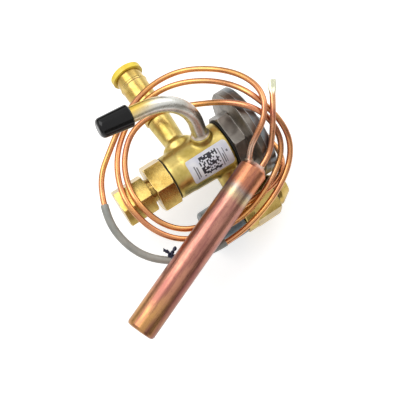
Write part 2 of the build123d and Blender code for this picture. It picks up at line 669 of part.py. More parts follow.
dish_x = gasket_end_x + collar_length
rim_x = diaphragm_x - element_rim_depth
cavity_x = diaphragm_x - element_cavity_depth
with BuildPart() as element_base:
    add(hex_bar(valve_plane, gasket_end_x, collar_length, collar_af, 0.8, 30).part)
    add(turned(valve_plane, [
        (dish_x - 0.6, 0), (dish_x - 0.6, collar_af / 2 - 0.2), (dish_x, collar_af / 2),
        (dish_x, element_flank_r),
        (rim_x, element_r - 1.2), (rim_x, element_r - element_edge), (rim_x + element_edge, element_r),
        (diaphragm_x, element_r), (diaphragm_x, 0)]).part)
    add(turned(valve_plane, [
        (gasket_end_x - 1, 0), (gasket_end_x - 1, element_neck_r + thread_gap),
        (cavity_x, element_neck_r + thread_gap),
        (cavity_x, element_cavity_r - 1.2), (diaphragm_x - 0.8, element_cavity_r),
        (diaphragm_x + 1, element_cavity_r),
        (diaphragm_x + 1, 0)]).part, mode=Mode.SUBTRACT)
save(element_base, "element_base")

# Diaphragm with three low corrugations
diaphragm_r = element_cavity_r + diaphragm_edge
with BuildPart() as diaphragm:
    with BuildSketch(valve_plane):
        with BuildLine():
            lower = [
                (diaphragm_x, 0), (diaphragm_x, 11.2), (diaphragm_x + 0.3, 11.9), (diaphragm_x, 12.6),
                (diaphragm_x + 0.3, 13.3), (diaphragm_x, 14.0), (diaphragm_x + 0.3, 14.6),
                (diaphragm_x, 15.2),
                (diaphragm_x, diaphragm_r)]
            upper = [(point[0] + diaphragm_thickness, point[1]) for point in reversed(lower)]
            Polyline(*lower, *upper, close=True)
        make_face()
    revolve(axis=Axis(valve_plane.origin, valve_plane.x_dir))
save(diaphragm, "diaphragm")

# Domed cover with the boss that the capillary enters from the side
cover_x = diaphragm_x + seat_gap
cover_rim_x = diaphragm_x + rim_length
clamp_x = diaphragm_x + diaphragm_thickness + seat_gap
crown_x = cover_rim_x + cover_crown
boss_end_x = crown_x + cover_boss_length
boss_mouth = capillary_route[0]
with BuildPart() as element_cover:
    with BuildSketch(valve_plane):
        with BuildLine():
            Polyline(
                (crown_x, 0), (crown_x - cover_wall, 0))
            ThreePointArc(
                (crown_x - cover_wall, 0), (crown_x - cover_wall - 0.5, element_cavity_r / 2),
                (crown_x - cover_wall - 2.0, element_cavity_r - 0.6))
            Polyline(
                (crown_x - cover_wall - 2.0, element_cavity_r - 0.6), (clamp_x + 0.6, element_cavity_r),
                (clamp_x, element_cavity_r), (clamp_x, diaphragm_r + seat_gap),
                (cover_x, diaphragm_r + seat_gap),
                (cover_x, element_r), (cover_rim_x - element_edge, element_r),
                (cover_rim_x, element_r - element_edge), (cover_rim_x, cover_dome_r))
            ThreePointArc(
                (cover_rim_x, cover_dome_r), (crown_x - 0.6, cover_dome_r / 2), (crown_x, 0))
        make_face()
    revolve(axis=Axis(valve_plane.origin, valve_plane.x_dir))
    add(turned(valve_plane, [
        (crown_x - 0.5, 0), (crown_x - 0.5, cover_boss_r), (boss_end_x - 0.7, cover_boss_r),
        (boss_end_x, cover_boss_r - 0.7), (boss_end_x, 0)]).part)
    with BuildSketch(across(valve_plane, crown_x - cover_wall - 0.5)):
        Circle(cover_port_r)
    extrude(amount=boss_mouth[0] - crown_x + cover_wall + 0.5, mode=Mode.SUBTRACT)
    with BuildSketch(Plane(origin=(boss_mouth[0], axis_y + 0.6, 0), z_dir=(0, -1, 0))):
        Circle(capillary_r + tube_clearance)
    extrude(amount=cover_boss_r + 2, mode=Mode.SUBTRACT)
save(element_cover, "element_cover")

# Sensing bulb, hollow, with two drilled holes in its tapered end
heading = radians(bulb_heading)
slope = radians(bulb_slope)
bulb_dir = Vector(cos(heading) * cos(slope), sin(heading) * cos(slope), sin(slope))
bulb_plane = Plane(origin=bulb_end, x_dir=bulb_dir, z_dir=(-sin(heading), cos(heading), 0))
with BuildPart() as bulb:
    add(turned(bulb_plane, [
        (-bulb_length, 0), (-bulb_length, bulb_r - bulb_foot_round),
        (-bulb_length + bulb_foot_round * 0.3, bulb_r - bulb_foot_round * 0.3),
        (-bulb_length + bulb_foot_round, bulb_r), (-bulb_taper, bulb_r), (0, bulb_flat_r), (0, 0)]).part)
    add(turned(bulb_plane, [
        (-bulb_length + 1, 0), (-bulb_length + 1, bulb_r - bulb_wall),
        (-bulb_taper - 1, bulb_r - bulb_wall),
        (-bulb_taper - 1, 0)]).part, mode=Mode.SUBTRACT)
    for route in (list(reversed(capillary_route)), fill_route):
        mouth = Vector(*route[0])
        outward = (Vector(*route[1]) - mouth).normalized()
        with BuildSketch(Plane(origin=mouth - outward * 0.3, z_dir=outward)):
            Circle(capillary_r + tube_clearance)
        extrude(amount=8, mode=Mode.SUBTRACT)
save(bulb, "sensing_bulb")


def corner_radii(points):
    """The bend radius at every inner point of a route of straight runs."""
    radii = []
    for before, here, after in zip(points, points[1:], points[2:]):
        first = Vector(*here) - Vector(*before)
        second = Vector(*after) - Vector(*here)
        half_turn = radians(first.get_angle(second)) / 2
        radii.append(0.45 * min(first.length, second.length) / tan(half_turn))
    return radii


def rod_along(points, radii, section_r, bore_r=0):
    """A round bar, or a tube if it has a bore, along straight runs joined by bends."""
    with BuildPart() as rod:
        with BuildLine() as path:
            FilletPolyline(*points, radius=radii)
        start = Vector(*points[0])
        heading_out = Vector(*points[1]) - start
        with BuildSketch(Plane(origin=start, z_dir=heading_out)):
            Circle(section_r)
            if bore_r > 0:
                Circle(bore_r, mode=Mode.SUBTRACT)
        sweep(path=path.wires()[0])
    path_length = path.wires()[0].length
    print("volume ratio", round(rod.part.volume / (pi * (section_r ** 2 - bore_r ** 2) * path_length), 4))
    return rod


# Capillary, its sleeve and the pinched fill tube
capillary_radii = corner_radii(capillary_route)
print("capillary radii", [round(radius, 1) for radius in capillary_radii])
capillary = rod_along(capillary_route, capillary_radii, capillary_r)
save(capillary, "capillary_tube")

sleeve_start = (Vector(*capillary_route[sleeve_first]) + Vector(*capillary_route[sleeve_first + 1])) * 0.5
sleeve_end = (Vector(*capillary_route[sleeve_last]) + Vector(*capillary_route[sleeve_last + 1])) * 0.5
sleeve_route = [tuple(sleeve_start), *capillary_route[sleeve_first + 1:sleeve_last + 1], tuple(sleeve_end)]
sleeve = rod_along(
    sleeve_route, capillary_radii[sleeve_first:sleeve_last], capillary_r + tube_clearance + sleeve_wall,
    capillary_r + tube_clearance)
save(sleeve, "capillary_sleeve")

fill_radii = corner_radii(fill_route)
print("fill tube radii", [round(radius, 1) for radius in fill_radii])
fill_tip = Vector(*fill_route[-1])
fill_heading = (fill_tip - Vector(*fill_route[-2])).normalized()
with BuildPart() as fill_tube:
    add(rod_along(fill_route, fill_radii, capillary_r).part)
    with BuildSketch(Plane(origin=fill_tip, z_dir=fill_heading)):
        Circle(capillary_r)
    with BuildSketch(Plane(origin=fill_tip + fill_heading * fill_flat_length, z_dir=fill_heading)):
        RectangleRounded(fill_flat_width, fill_flat_thickness, 0.4)
    loft()
save(fill_tube, "bulb_fill_tube")

# Twist tie: a flat ribbon round two strands of the capillary, its ends twisted together
tie_along = Vector(*tie_heading).normalized()
tie_across = Vector(0, 0, 1).cross(tie_along).normalized()
tie_plane = Plane(origin=tie_centre, x_dir=tie_across, z_dir=tie_along)
with BuildPart() as tie:
    with BuildSketch(tie_plane):
        SlotOverall(tie_reach + 2 * tie_thickness, tie_opening + 2 * tie_thickness)
        SlotOverall(tie_reach, tie_opening, mode=Mode.SUBTRACT)
    extrude(amount=tie_ribbon / 2, both=True)
    tail_foot = tie_plane.from_local_coords(Vector(0.6 - tie_reach / 2, tie_opening / 2 + tie_thickness / 2, 0))
    with BuildSketch(Plane(origin=tail_foot, z_dir=tie_tail_dir)):
        Circle(tie_tail_r)
    extrude(amount=tie_tail_length)
save(tie, "twist_tie")

# Label bent round the barrel
label_first = radians(label_middle_angle - label_span / 2)
label_plane = Plane(
    origin=(0, axis_y, 0), x_dir=(1, 0, 0), z_dir=(0, -cos(label_first), -sin(label_first)))
barrel_slope = (body_end_r - body_step_r) / (body_end_x - body_step_x - 2 * body_edge)
label_end_x = label_start_x + label_length
label_start_r = body_step_r + (label_start_x - body_step_x - body_edge) * barrel_slope + seat_gap
label_end_r = body_step_r + (label_end_x - body_step_x - body_edge) * barrel_slope + seat_gap
with BuildPart() as label:
    with BuildSketch(label_plane):
        with BuildLine():
            Polyline(
                (label_start_x, label_start_r), (label_end_x, label_end_r),
                (label_end_x, label_end_r + label_thickness),
                (label_start_x, label_start_r + label_thickness),
                close=True)
        make_face()
    revolve(axis=Axis(label_plane.origin, label_plane.x_dir), revolution_arc=label_span)
    label_middle = radians(label_middle_angle)
    with BuildSketch(Plane(
            origin=((label_start_x + label_end_x) / 2, axis_y, 0), x_dir=(1, 0, 0),
            z_dir=(0, -sin(label_middle), cos(label_middle)))):
        RectangleRounded(
            label_length, 2 * (label_end_r + label_thickness) * sin(radians(label_span / 2)), label_corner)
    extrude(amount=20, mode=Mode.INTERSECT)
save(label, "label")
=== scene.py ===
import logging
import math
from dataclasses import dataclass, field
from enum import Enum

import bmesh
import bpy
from mathutils import Matrix, Vector
from mathutils.bvhtree import BVHTree


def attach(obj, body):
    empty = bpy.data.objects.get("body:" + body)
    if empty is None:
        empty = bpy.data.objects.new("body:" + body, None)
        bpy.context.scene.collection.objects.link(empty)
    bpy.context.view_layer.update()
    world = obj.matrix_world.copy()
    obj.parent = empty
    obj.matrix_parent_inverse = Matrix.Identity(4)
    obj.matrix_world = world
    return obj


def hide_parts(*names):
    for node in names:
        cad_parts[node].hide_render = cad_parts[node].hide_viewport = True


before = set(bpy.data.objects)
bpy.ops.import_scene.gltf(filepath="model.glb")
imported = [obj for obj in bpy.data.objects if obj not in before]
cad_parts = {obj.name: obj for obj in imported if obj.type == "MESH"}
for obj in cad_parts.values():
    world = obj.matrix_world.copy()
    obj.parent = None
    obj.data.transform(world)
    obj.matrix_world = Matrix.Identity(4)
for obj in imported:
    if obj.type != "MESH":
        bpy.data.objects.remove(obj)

log = logging.getLogger("expansion_valve")

MM = 0.001
AXIS_Y = -52.0          # the valve's own axis runs along X at this Y and at Z = 0
MIX_OVER = 7            # a Mix node's second colour, laid over its first one, which is input 6
MIX_OUT = 2             # the output that gives a Mix node's colour
WHITE = (1.0, 1.0, 1.0, 1.0)
MARK_STRETCH = 14       # how many times longer than wide a tool mark is

Socket = bpy.types.NodeSocket
Material = bpy.types.Material
Object = bpy.types.Object


def linear(colour: str) -> tuple:
    """Turn an sRGB hex colour to linear RGBA.

    Args:
        colour: six hex digits, with or without a leading #.

    Returns:
        Four floats, the last one an alpha of 1.
    """
    digits = colour.lstrip("#")
    channels = [int(digits[start:start + 2], 16) / 255 for start in (0, 2, 4)]
    return tuple(c / 12.92 if c <= 0.04045 else ((c + 0.055) / 1.055) ** 2.4 for c in channels) + (1.0,)


def blank_material(name: str) -> Material:
    """Make a material with an empty node tree."""
    material = bpy.data.materials.new(name)
    material.use_nodes = True
    material.node_tree.nodes.clear()
    return material


def add_node(
        owner: Material | bpy.types.World, kind: str, settings: dict | None = None,
        **links: Socket) -> bpy.types.Node:
    """Add one shader node with its settings and links.

    Args:
        owner: the material or world whose tree gets the node.
        kind: the node's type name.
        settings: values of node properties, or of input sockets by name or number.
        **links: the output socket that feeds each input. The input is written as its name with
            underscores for spaces, or as i and its number, such as i0, where names repeat.

    Returns:
        The new node.
    """
    node = owner.node_tree.nodes.new(kind)
    for name, value in (settings or {}).items():
        if isinstance(name, int) or name in node.inputs.keys():
            node.inputs[name].default_value = value
        else:
            setattr(node, name, value)
    for name, source in links.items():
        numbered = name[0] == "i" and name[1:].isdigit()
        socket = node.inputs[int(name[1:]) if numbered else name.replace("_", " ")]
        owner.node_tree.links.new(source, socket)
    return node


def colour_ramp(node: bpy.types.Node, stops: list) -> bpy.types.Node:
    """Set a colour ramp's stops.

    Args:
        node: the ramp node.
        stops: (position, hex colour) pairs from low to high.

    Returns:
        The same node.
    """
    elements = node.color_ramp.elements
    while len(elements) < len(stops):
        elements.new(0.5)
    for element, (position, colour) in zip(elements, stops):
        element.position = position
        element.color = linear(colour)
    return node


def seen_or_mirrored(owner: Material | bpy.types.World) -> Socket:
    """Tell looking from lighting.

    Args:
        owner: the material or world.

    Returns:
        A socket that is 1 for what the camera, gloss and glass look at, and 0 for light.
    """
    path = add_node(owner, "ShaderNodeLightPath")
    seen = path.outputs["Is Camera Ray"]
    for ray in ("Is Glossy Ray", "Is Transmission Ray"):
        seen = add_node(
            owner, "ShaderNodeMath", {"operation": "MAXIMUM"}, i0=seen, i1=path.outputs[ray]).outputs[0]
    return seen


class Grain(Enum):
    """How a surface was made, which sets the direction of its fine marks."""

    FORGED = "forged"
    TURNED = "turned"
    DRAWN = "drawn"
    PLATED = "plated"


@dataclass(frozen=True)
class Metal:
    """A bare or plated metal.

    Two tones drift over the piece, a darker tarnish settles in patches, and fine marks from
    its making set the bump and vary the gloss.
    """

    name: str
    light: str
    deep: str
    tarnish: str
    roughness: float
    grain: Grain
    mark_mm: float          # spacing of the tool marks or size of the grain
    mark_depth: float       # bump distance in millimetres
    drift_mm: float = 6.0   # size of the patches of tone
    tarnish_share: float = 0.35
    stain_and_painted_reflection: tuple = ()       # a real stain, and on the zinc tube a painted reflection: centre in millimetres, reach where it ends, reach where it is full, colour
    edge_mm: float = 0.0    # how far the corners are rounded, which also sets the width of their pale line
    # pale colour of the corners: partly wear, partly a painted highlight
    corner_wear_and_highlight: str = "#f2e2ab"

    def build(self) -> Material:
        """Make the material.

        Returns:
            The material.
        """
        material = blank_material(self.name)
        spot = add_node(material, "ShaderNodeTexCoord").outputs["Object"]
        colour = self.tarnished(material, spot)
        if self.stain_and_painted_reflection:
            colour = self.mix_stain_and_painted_reflection(material, spot, colour)
        marks = self.marks(material, spot)
        rough = add_node(
            material, "ShaderNodeMapRange",
            {"From Min": 0.3, "From Max": 0.7, "To Min": self.roughness * 0.8,
             "To Max": min(1.0, self.roughness * 1.3)}, Value=marks)
        bump = add_node(
            material, "ShaderNodeBump", {"Strength": 0.6, "Distance": self.mark_depth * MM}, Height=marks)
        if self.edge_mm:
            worn = add_node(
                material, "ShaderNodeBevel", {"samples": 6, "Radius": self.edge_mm * MM}).outputs["Normal"]
            material.node_tree.links.new(worn, bump.inputs["Normal"])
            # The corners are painted pale here: partly wear from handling, partly a painted highlight along the
            # rounded edge
            colour = self.wear_and_painted_highlight_on_corners(material, colour, worn)
        shader = add_node(
            material, "ShaderNodeBsdfPrincipled", {"Metallic": 1.0}, Base_Color=colour,
            Roughness=rough.outputs["Result"], Normal=bump.outputs["Normal"])
        add_node(material, "ShaderNodeOutputMaterial", None, Surface=shader.outputs["BSDF"])
        return material

    def tarnished(self, material: Material, spot: Socket) -> Socket:
        """Drift the two tones over the piece and lay the tarnish on in patches.

        Args:
            material: the material.
            spot: the object coordinates.

        Returns:
            The colour.
        """
        drift = add_node(
            material, "ShaderNodeTexNoise",
            {"Scale": 1 / (self.drift_mm * MM), "Detail": 3.0, "Roughness": 0.55, "Distortion": 0.4}, Vector=spot)
        tone = colour_ramp(
            add_node(material, "ShaderNodeValToRGB", None, Fac=drift.outputs["Fac"]),
            [(0.35, self.deep), (0.62, self.light)])
        patch = add_node(
            material, "ShaderNodeTexNoise",
            {"Scale": 1 / (self.drift_mm * 0.45 * MM), "Detail": 6.0, "Roughness": 0.68}, Vector=spot)
        share = add_node(
            material, "ShaderNodeMapRange", {"From Min": 0.50, "From Max": 0.72, "To Max": self.tarnish_share},
            Value=patch.outputs["Fac"])
        return add_node(
            material, "ShaderNodeMix", {"data_type": "RGBA", MIX_OVER: linear(self.tarnish)},
            i0=share.outputs["Result"], i6=tone.outputs["Color"]).outputs[MIX_OUT]

    def mix_stain_and_painted_reflection(self, material: Material, spot: Socket, under: Socket) -> Socket:
        """Mix a stain's colour in round its centre. On the zinc tube this colour is a painted reflection.

        Args:
            material: the material.
            spot: the object coordinates.
            under: the colour so far.

        Returns:
            The colour.
        """
        centre, ends, full, tint = self.stain_and_painted_reflection
        reach = add_node(
            material, "ShaderNodeVectorMath", {"operation": "DISTANCE", 1: Vector(centre) * MM}, i0=spot)
        share = add_node(
            material, "ShaderNodeMapRange",
            {"interpolation_type": "SMOOTHSTEP", "From Min": ends * MM, "From Max": full * MM},
            Value=reach.outputs["Value"])
        return add_node(
            material, "ShaderNodeMix", {"data_type": "RGBA", MIX_OVER: linear(tint)},
            i0=share.outputs["Result"], i6=under).outputs[MIX_OUT]

    def wear_and_painted_highlight_on_corners(self, material: Material, under: Socket, worn: Socket) -> Socket:
        """Brighten the corners in a line a few tenths of a millimetre wide: partly wear from handling, partly a
        painted highlight along the rounded edge.

        Args:
            material: the material.
            under: the colour so far.
            worn: the direction of the rounded surface.

        Returns:
            The colour.
        """
        flat = add_node(material, "ShaderNodeNewGeometry").outputs["Normal"]
        lean = add_node(material, "ShaderNodeVectorMath", {"operation": "DOT_PRODUCT"}, i0=worn, i1=flat)
        corner = add_node(
            material, "ShaderNodeMapRange", {"From Min": 0.995, "From Max": 0.92, "To Max": 0.7},
            Value=lean.outputs["Value"])
        return add_node(
            material, "ShaderNodeMix", {"data_type": "RGBA", MIX_OVER: linear(self.corner_wear_and_highlight)},
            i0=corner.outputs["Result"], i6=under).outputs[MIX_OUT]

    def marks(self, material: Material, spot: Socket) -> Socket:
        """Draw the fine marks of the making.

        Args:
            material: the material.
            spot: the object coordinates.

        Returns:
            Their height.
        """
        fine = 1 / (self.mark_mm * MM)
        if self.grain in (Grain.FORGED, Grain.PLATED):
            return add_node(
                material, "ShaderNodeTexNoise", {"Scale": fine, "Detail": 5.0, "Roughness": 0.62},
                Vector=spot).outputs["Fac"]
        # Turning leaves rings round the valve's axis, X, and drawing leaves lines along it
        coarse = fine / MARK_STRETCH
        scale = (fine, coarse, coarse) if self.grain is Grain.TURNED else (coarse, fine, fine)
        stretch = add_node(material, "ShaderNodeMapping", {"Scale": scale}, Vector=spot)
        return add_node(
            material, "ShaderNodeTexNoise", {"Scale": 1.0, "Detail": 4.0, "Roughness": 0.6},
            Vector=stretch.outputs["Vector"]).outputs["Fac"]


@dataclass(frozen=True)
class Polymer:
    """Rubber, moulded plastic or fibre: one body colour with a slight drift, and a fine moulded
    grain."""

    name: str
    light: str
    deep: str
    roughness: float
    grain_mm: float
    grain_depth: float
    drift_mm: float = 5.0
    ior: float = 1.5

    def build(self) -> Material:
        """Make the material.

        Returns:
            The material.
        """
        material = blank_material(self.name)
        spot = add_node(material, "ShaderNodeTexCoord").outputs["Object"]
        drift = add_node(
            material, "ShaderNodeTexNoise", {"Scale": 1 / (self.drift_mm * MM), "Detail": 4.0, "Roughness": 0.6},
            Vector=spot)
        tone = colour_ramp(
            add_node(material, "ShaderNodeValToRGB", None, Fac=drift.outputs["Fac"]),
            [(0.35, self.deep), (0.65, self.light)])
        grain = add_node(
            material, "ShaderNodeTexNoise", {"Scale": 1 / (self.grain_mm * MM), "Detail": 3.0, "Roughness": 0.55},
            Vector=spot)
        rough = add_node(
            material, "ShaderNodeMapRange",
            {"From Min": 0.3, "From Max": 0.7, "To Min": self.roughness * 0.85,
             "To Max": min(1.0, self.roughness * 1.2)}, Value=grain.outputs["Fac"])
        bump = add_node(
            material, "ShaderNodeBump", {"Strength": 0.5, "Distance": self.grain_depth * MM},
            Height=grain.outputs["Fac"])
        shader = add_node(
            material, "ShaderNodeBsdfPrincipled", {"IOR": self.ior}, Base_Color=tone.outputs["Color"],
            Roughness=rough.outputs["Result"], Normal=bump.outputs["Normal"])
        add_node(material, "ShaderNodeOutputMaterial", None, Surface=shader.outputs["BSDF"])
        return material


@dataclass(frozen=True)
class HeatedCopper:
    """The bulb's drawn copper, tinted by the heat of brazing one end shut: bright orange by the tubes, then a pale
    ring, then brown-pink, and golden at the far end. The brazed end's face is painted near white, a painted
    highlight on its rim."""

    name: str
    end: tuple              # centre of the brazed end, in millimetres
    heading: tuple          # from the far end to the brazed end
    length: float
    stops: tuple            # (share of the length from the far end, colour)
    tint: str = "#7f4b4c"
    freckle: str = "#6d4440"
    roughness: float = 0.31
    wander_mm: float = 4.5  # how far the borders between tones stray along the tube

    def build(self) -> Material:
        """Make the material.

        Returns:
            The material.
        """
        material = blank_material(self.name)
        spot = add_node(material, "ShaderNodeTexCoord").outputs["Object"]
        turn = Vector((1, 0, 0)).rotation_difference(Vector(self.heading)).to_euler()
        # Heat tint lies in broken purple-brown streaks about 4 mm wide and 30 mm long
        heat = self.streaks(material, spot, turn, (30, 4, 4), 5.0, 0.62)
        share = add_node(
            material, "ShaderNodeMapRange", {"From Min": 0.42, "From Max": 0.60, "To Max": 0.75}, Value=heat)
        tinted = add_node(
            material, "ShaderNodeMix", {"data_type": "RGBA", MIX_OVER: linear(self.tint)},
            i0=share.outputs["Result"], i6=self.tone(material, spot))
        # Oxide freckles, the finest half a millimetre across
        freckle = add_node(
            material, "ShaderNodeTexNoise", {"Scale": 1 / (1.6 * MM), "Detail": 6.0, "Roughness": 0.7}, Vector=spot)
        amount = add_node(
            material, "ShaderNodeMapRange", {"From Min": 0.52, "From Max": 0.75, "To Max": 0.45},
            Value=freckle.outputs["Fac"])
        colour = add_node(
            material, "ShaderNodeMix", {"data_type": "RGBA", MIX_OVER: linear(self.freckle)},
            i0=amount.outputs["Result"], i6=tinted.outputs[MIX_OUT])
        # Draw marks run the whole length and smear the highlight along the tube. Real ones are
        # too fine to show, so these are 0.2 mm apart
        marks = self.streaks(material, spot, turn, (16, 0.2, 0.2), 4.0, 0.6)
        rough = add_node(
            material, "ShaderNodeMapRange",
            {"From Min": 0.3, "From Max": 0.7, "To Min": self.roughness * 0.8, "To Max": self.roughness * 1.35},
            Value=marks)
        bump = add_node(material, "ShaderNodeBump", {"Strength": 0.5, "Distance": 0.006 * MM}, Height=marks)
        shader = add_node(
            material, "ShaderNodeBsdfPrincipled", {"Metallic": 1.0}, Base_Color=colour.outputs[MIX_OUT],
            Roughness=rough.outputs["Result"], Normal=bump.outputs["Normal"])
        add_node(material, "ShaderNodeOutputMaterial", None, Surface=shader.outputs["BSDF"])
        return material

    def tone(self, material: Material, spot: Socket) -> Socket:
        """Run the tones along the tube, with borders that wander a little round it.

        Args:
            material: the material.
            spot: the object coordinates.

        Returns:
            The colour.
        """
        offset = add_node(
            material, "ShaderNodeVectorMath", {"operation": "SUBTRACT", 1: Vector(self.end) * MM}, i0=spot)
        along = add_node(
            material, "ShaderNodeVectorMath", {"operation": "DOT_PRODUCT", 1: self.heading}, i0=offset.outputs[0])
        wander = add_node(
            material, "ShaderNodeTexNoise", {"Scale": 1 / (7 * MM), "Detail": 4.0, "Roughness": 0.6}, Vector=spot)
        pushed = add_node(
            material, "ShaderNodeMath", {"operation": "MULTIPLY_ADD", 1: self.wander_mm * MM},
            i0=wander.outputs["Fac"], i2=along.outputs["Value"])
        middle = self.wander_mm / 2 - 0.05
        share = add_node(
            material, "ShaderNodeMapRange",
            {"From Min": -(self.length - middle) * MM, "From Max": middle * MM}, Value=pushed.outputs[0])
        return colour_ramp(
            add_node(material, "ShaderNodeValToRGB", None, Fac=share.outputs["Result"]),
            list(self.stops)).outputs["Color"]

    def streaks(
            self, material: Material, spot: Socket, turn: tuple, size: tuple, detail: float,
            roughness: float) -> Socket:
        """Draw noise stretched along the tube.

        Args:
            material: the material.
            spot: the object coordinates.
            turn: the tube's rotation from X.
            size: a streak's length along the tube and its two widths, in millimetres.
            detail: the noise's detail.
            roughness: the noise's roughness.

        Returns:
            Its value.
        """
        drawn = add_node(
            material, "ShaderNodeMapping",
            {"vector_type": "TEXTURE", "Rotation": turn, "Scale": Vector(size) * MM}, Vector=spot)
        return add_node(
            material, "ShaderNodeTexNoise", {"Scale": 1.0, "Detail": detail, "Roughness": roughness},
            Vector=drawn.outputs["Vector"]).outputs["Fac"]


@dataclass(frozen=True)
class PrintedLabel:
    """A white film label with generic print: a square of random cells and a few plain bars.

    The print is laid out in millimetres, s along the barrel from the label's left edge and
    t round the barrel from its lower edge.
    """

    name: str
    start: float            # where the label starts along X
    radius: float           # of the barrel at its middle
    low_angle: float        # degrees from +Z towards -Y, of the label's lower edge
    square: tuple = (4.96, 13.64, 1.24, 9.92)       # s from, s to, t from, t to
    cell: float = 0.62
    white_share: float = 0.42
    bar_ink: float = 0.8
    ink: str = "#23232e"
    bars: tuple = (
        (2.1, 2.6, 1.4, 7.8), (3.0, 3.5, 2.0, 7.0), (14.3, 14.7, 1.3, 9.4), (15.2, 15.7, 2.2, 6.4),
        (16.1, 16.4, 2.0, 8.6), (17.2, 18.0, 6.2, 7.1))

    def build(self) -> Material:
        """Make the material.

        Returns:
            The material.
        """
        material = blank_material(self.name)
        spot = add_node(material, "ShaderNodeTexCoord").outputs["Object"]
        # The film has a slight blue-grey drift and a fine orange-peel sheen
        drift = add_node(
            material, "ShaderNodeTexNoise", {"Scale": 1 / (5 * MM), "Detail": 3.0, "Roughness": 0.5}, Vector=spot)
        film = colour_ramp(
            add_node(material, "ShaderNodeValToRGB", None, Fac=drift.outputs["Fac"]),
            [(0.35, "#dcdce8"), (0.65, "#f2f2f5")])
        colour = add_node(
            material, "ShaderNodeMix", {"data_type": "RGBA", MIX_OVER: linear(self.ink)},
            i0=self.print(material, spot), i6=film.outputs["Color"])
        peel = add_node(material, "ShaderNodeTexNoise", {"Scale": 1 / (0.4 * MM), "Detail": 2.0}, Vector=spot)
        bump = add_node(
            material, "ShaderNodeBump", {"Strength": 0.3, "Distance": 0.004 * MM}, Height=peel.outputs["Fac"])
        shader = add_node(
            material, "ShaderNodeBsdfPrincipled", {"Roughness": 0.38, "IOR": 1.5},
            Base_Color=colour.outputs[MIX_OUT], Normal=bump.outputs["Normal"])
        add_node(material, "ShaderNodeOutputMaterial", None, Surface=shader.outputs["BSDF"])
        return material

    def print(self, material: Material, spot: Socket) -> Socket:
        """Lay out the square of random cells and the bars.

        Args:
            material: the material.
            spot: the object coordinates.

        Returns:
            How much ink there is, from 0 to 1.
        """
        parts = add_node(material, "ShaderNodeSeparateXYZ", None, Vector=spot)
        s = self.steps(material, parts.outputs["X"], (("MULTIPLY", 1 / MM), ("SUBTRACT", self.start)))
        forward = self.steps(material, parts.outputs["Y"], (("MULTIPLY", -1 / MM), ("ADD", AXIS_Y)))
        up = self.steps(material, parts.outputs["Z"], (("MULTIPLY", 1 / MM),))
        angle = add_node(material, "ShaderNodeMath", {"operation": "ARCTAN2"}, i0=forward, i1=up).outputs[0]
        t = self.steps(
            material, angle, (("MULTIPLY", -self.radius), ("ADD", math.radians(self.low_angle) * self.radius)))
        flat = add_node(material, "ShaderNodeCombineXYZ", None, X=s, Y=t)
        cells = add_node(
            material, "ShaderNodeVectorMath", {"operation": "SNAP", 1: (self.cell, self.cell, 1.0)},
            i0=flat.outputs[0])
        chance = add_node(
            material, "ShaderNodeTexWhiteNoise", {"noise_dimensions": "2D"}, Vector=cells.outputs[0])
        dark = add_node(
            material, "ShaderNodeMath", {"operation": "GREATER_THAN", 1: self.white_share},
            i0=chance.outputs["Value"])
        ink = add_node(
            material, "ShaderNodeMath", {"operation": "MULTIPLY"}, i0=dark.outputs[0],
            i1=self.inside(material, s, t, self.square)).outputs[0]
        for bar in self.bars:
            ink = add_node(
                material, "ShaderNodeMath", {"operation": "MULTIPLY_ADD", 1: self.bar_ink},
                i0=self.inside(material, s, t, bar), i2=ink).outputs[0]
        return ink

    def steps(self, material: Material, value: Socket, sums: tuple) -> Socket:
        """Run a value through a few sums.

        Args:
            material: the material.
            value: the socket to start from.
            sums: (operation, number) pairs.

        Returns:
            The last socket.
        """
        for operation, number in sums:
            value = add_node(
                material, "ShaderNodeMath", {"operation": operation, 1: number}, i0=value).outputs[0]
        return value

    def inside(self, material: Material, s: Socket, t: Socket, area: tuple) -> Socket:
        """Mask a rectangle.

        Args:
            material: the material.
            s: the place along the barrel.
            t: the place round the barrel.
            area: s from, s to, t from and t to.

        Returns:
            A socket that is 1 inside the rectangle and 0 outside it.
        """
        masks = [
            add_node(
                material, "ShaderNodeMath",
                {"operation": "COMPARE", 1: (low + high) / 2, 2: (high - low) / 2}, i0=value).outputs[0]
            for value, low, high in ((s, *area[:2]), (t, *area[2:]))]
        return add_node(
            material, "ShaderNodeMath", {"operation": "MULTIPLY"}, i0=masks[0], i1=masks[1]).outputs[0]


Finish = Metal | Polymer | HeatedCopper | PrintedLabel

BULB_END = (19.3, -70.7, 10.5)
BULB_LENGTH = 79.4
BULB_TURN = math.radians(21.2)      # of its axis from X towards Y
BULB_RISE = math.radians(4.0)       # of its axis above the level
BULB_HEADING = (
    math.cos(BULB_TURN) * math.cos(BULB_RISE), math.sin(BULB_TURN) * math.cos(BULB_RISE), math.sin(BULB_RISE))

# Forged hot in a die: soft corners and a fine grain of scale all over
FORGED_BRASS = Metal("hot_forged_brass", "#cfb970", "#b09a50", "#7f6f3a", 0.34, Grain.FORGED, 0.5, 0.03, edge_mm=0.2)
# Turned from bar: bright, with rings round its axis, and pale corners that are partly wear from handling and partly
# a painted highlight
TURNED_BRASS = Metal("turned_brass", "#cdb168", "#ae904b", "#7c6434", 0.24, Grain.TURNED, 0.09, 0.006, edge_mm=0.3)
# Pressed and turned steel, left dull: brown-grey, darker where oil has dried
ELEMENT_STEEL = Metal(
    "power_element_steel", "#857f78", "#625d57", "#4a4037", 0.34, Grain.TURNED, 0.1, 0.006, edge_mm=0.3,
    corner_wear_and_highlight="#b3afaa")
# The same steel where it was pressed to a shallow dome: cooler, in broader patches
COVER_STEEL = Metal(
    "power_element_cover", "#868c8f", "#666a6b", "#4b4139", 0.32, Grain.TURNED, 0.1, 0.006, drift_mm=9.0,
    edge_mm=0.3, corner_wear_and_highlight="#b9bec0")
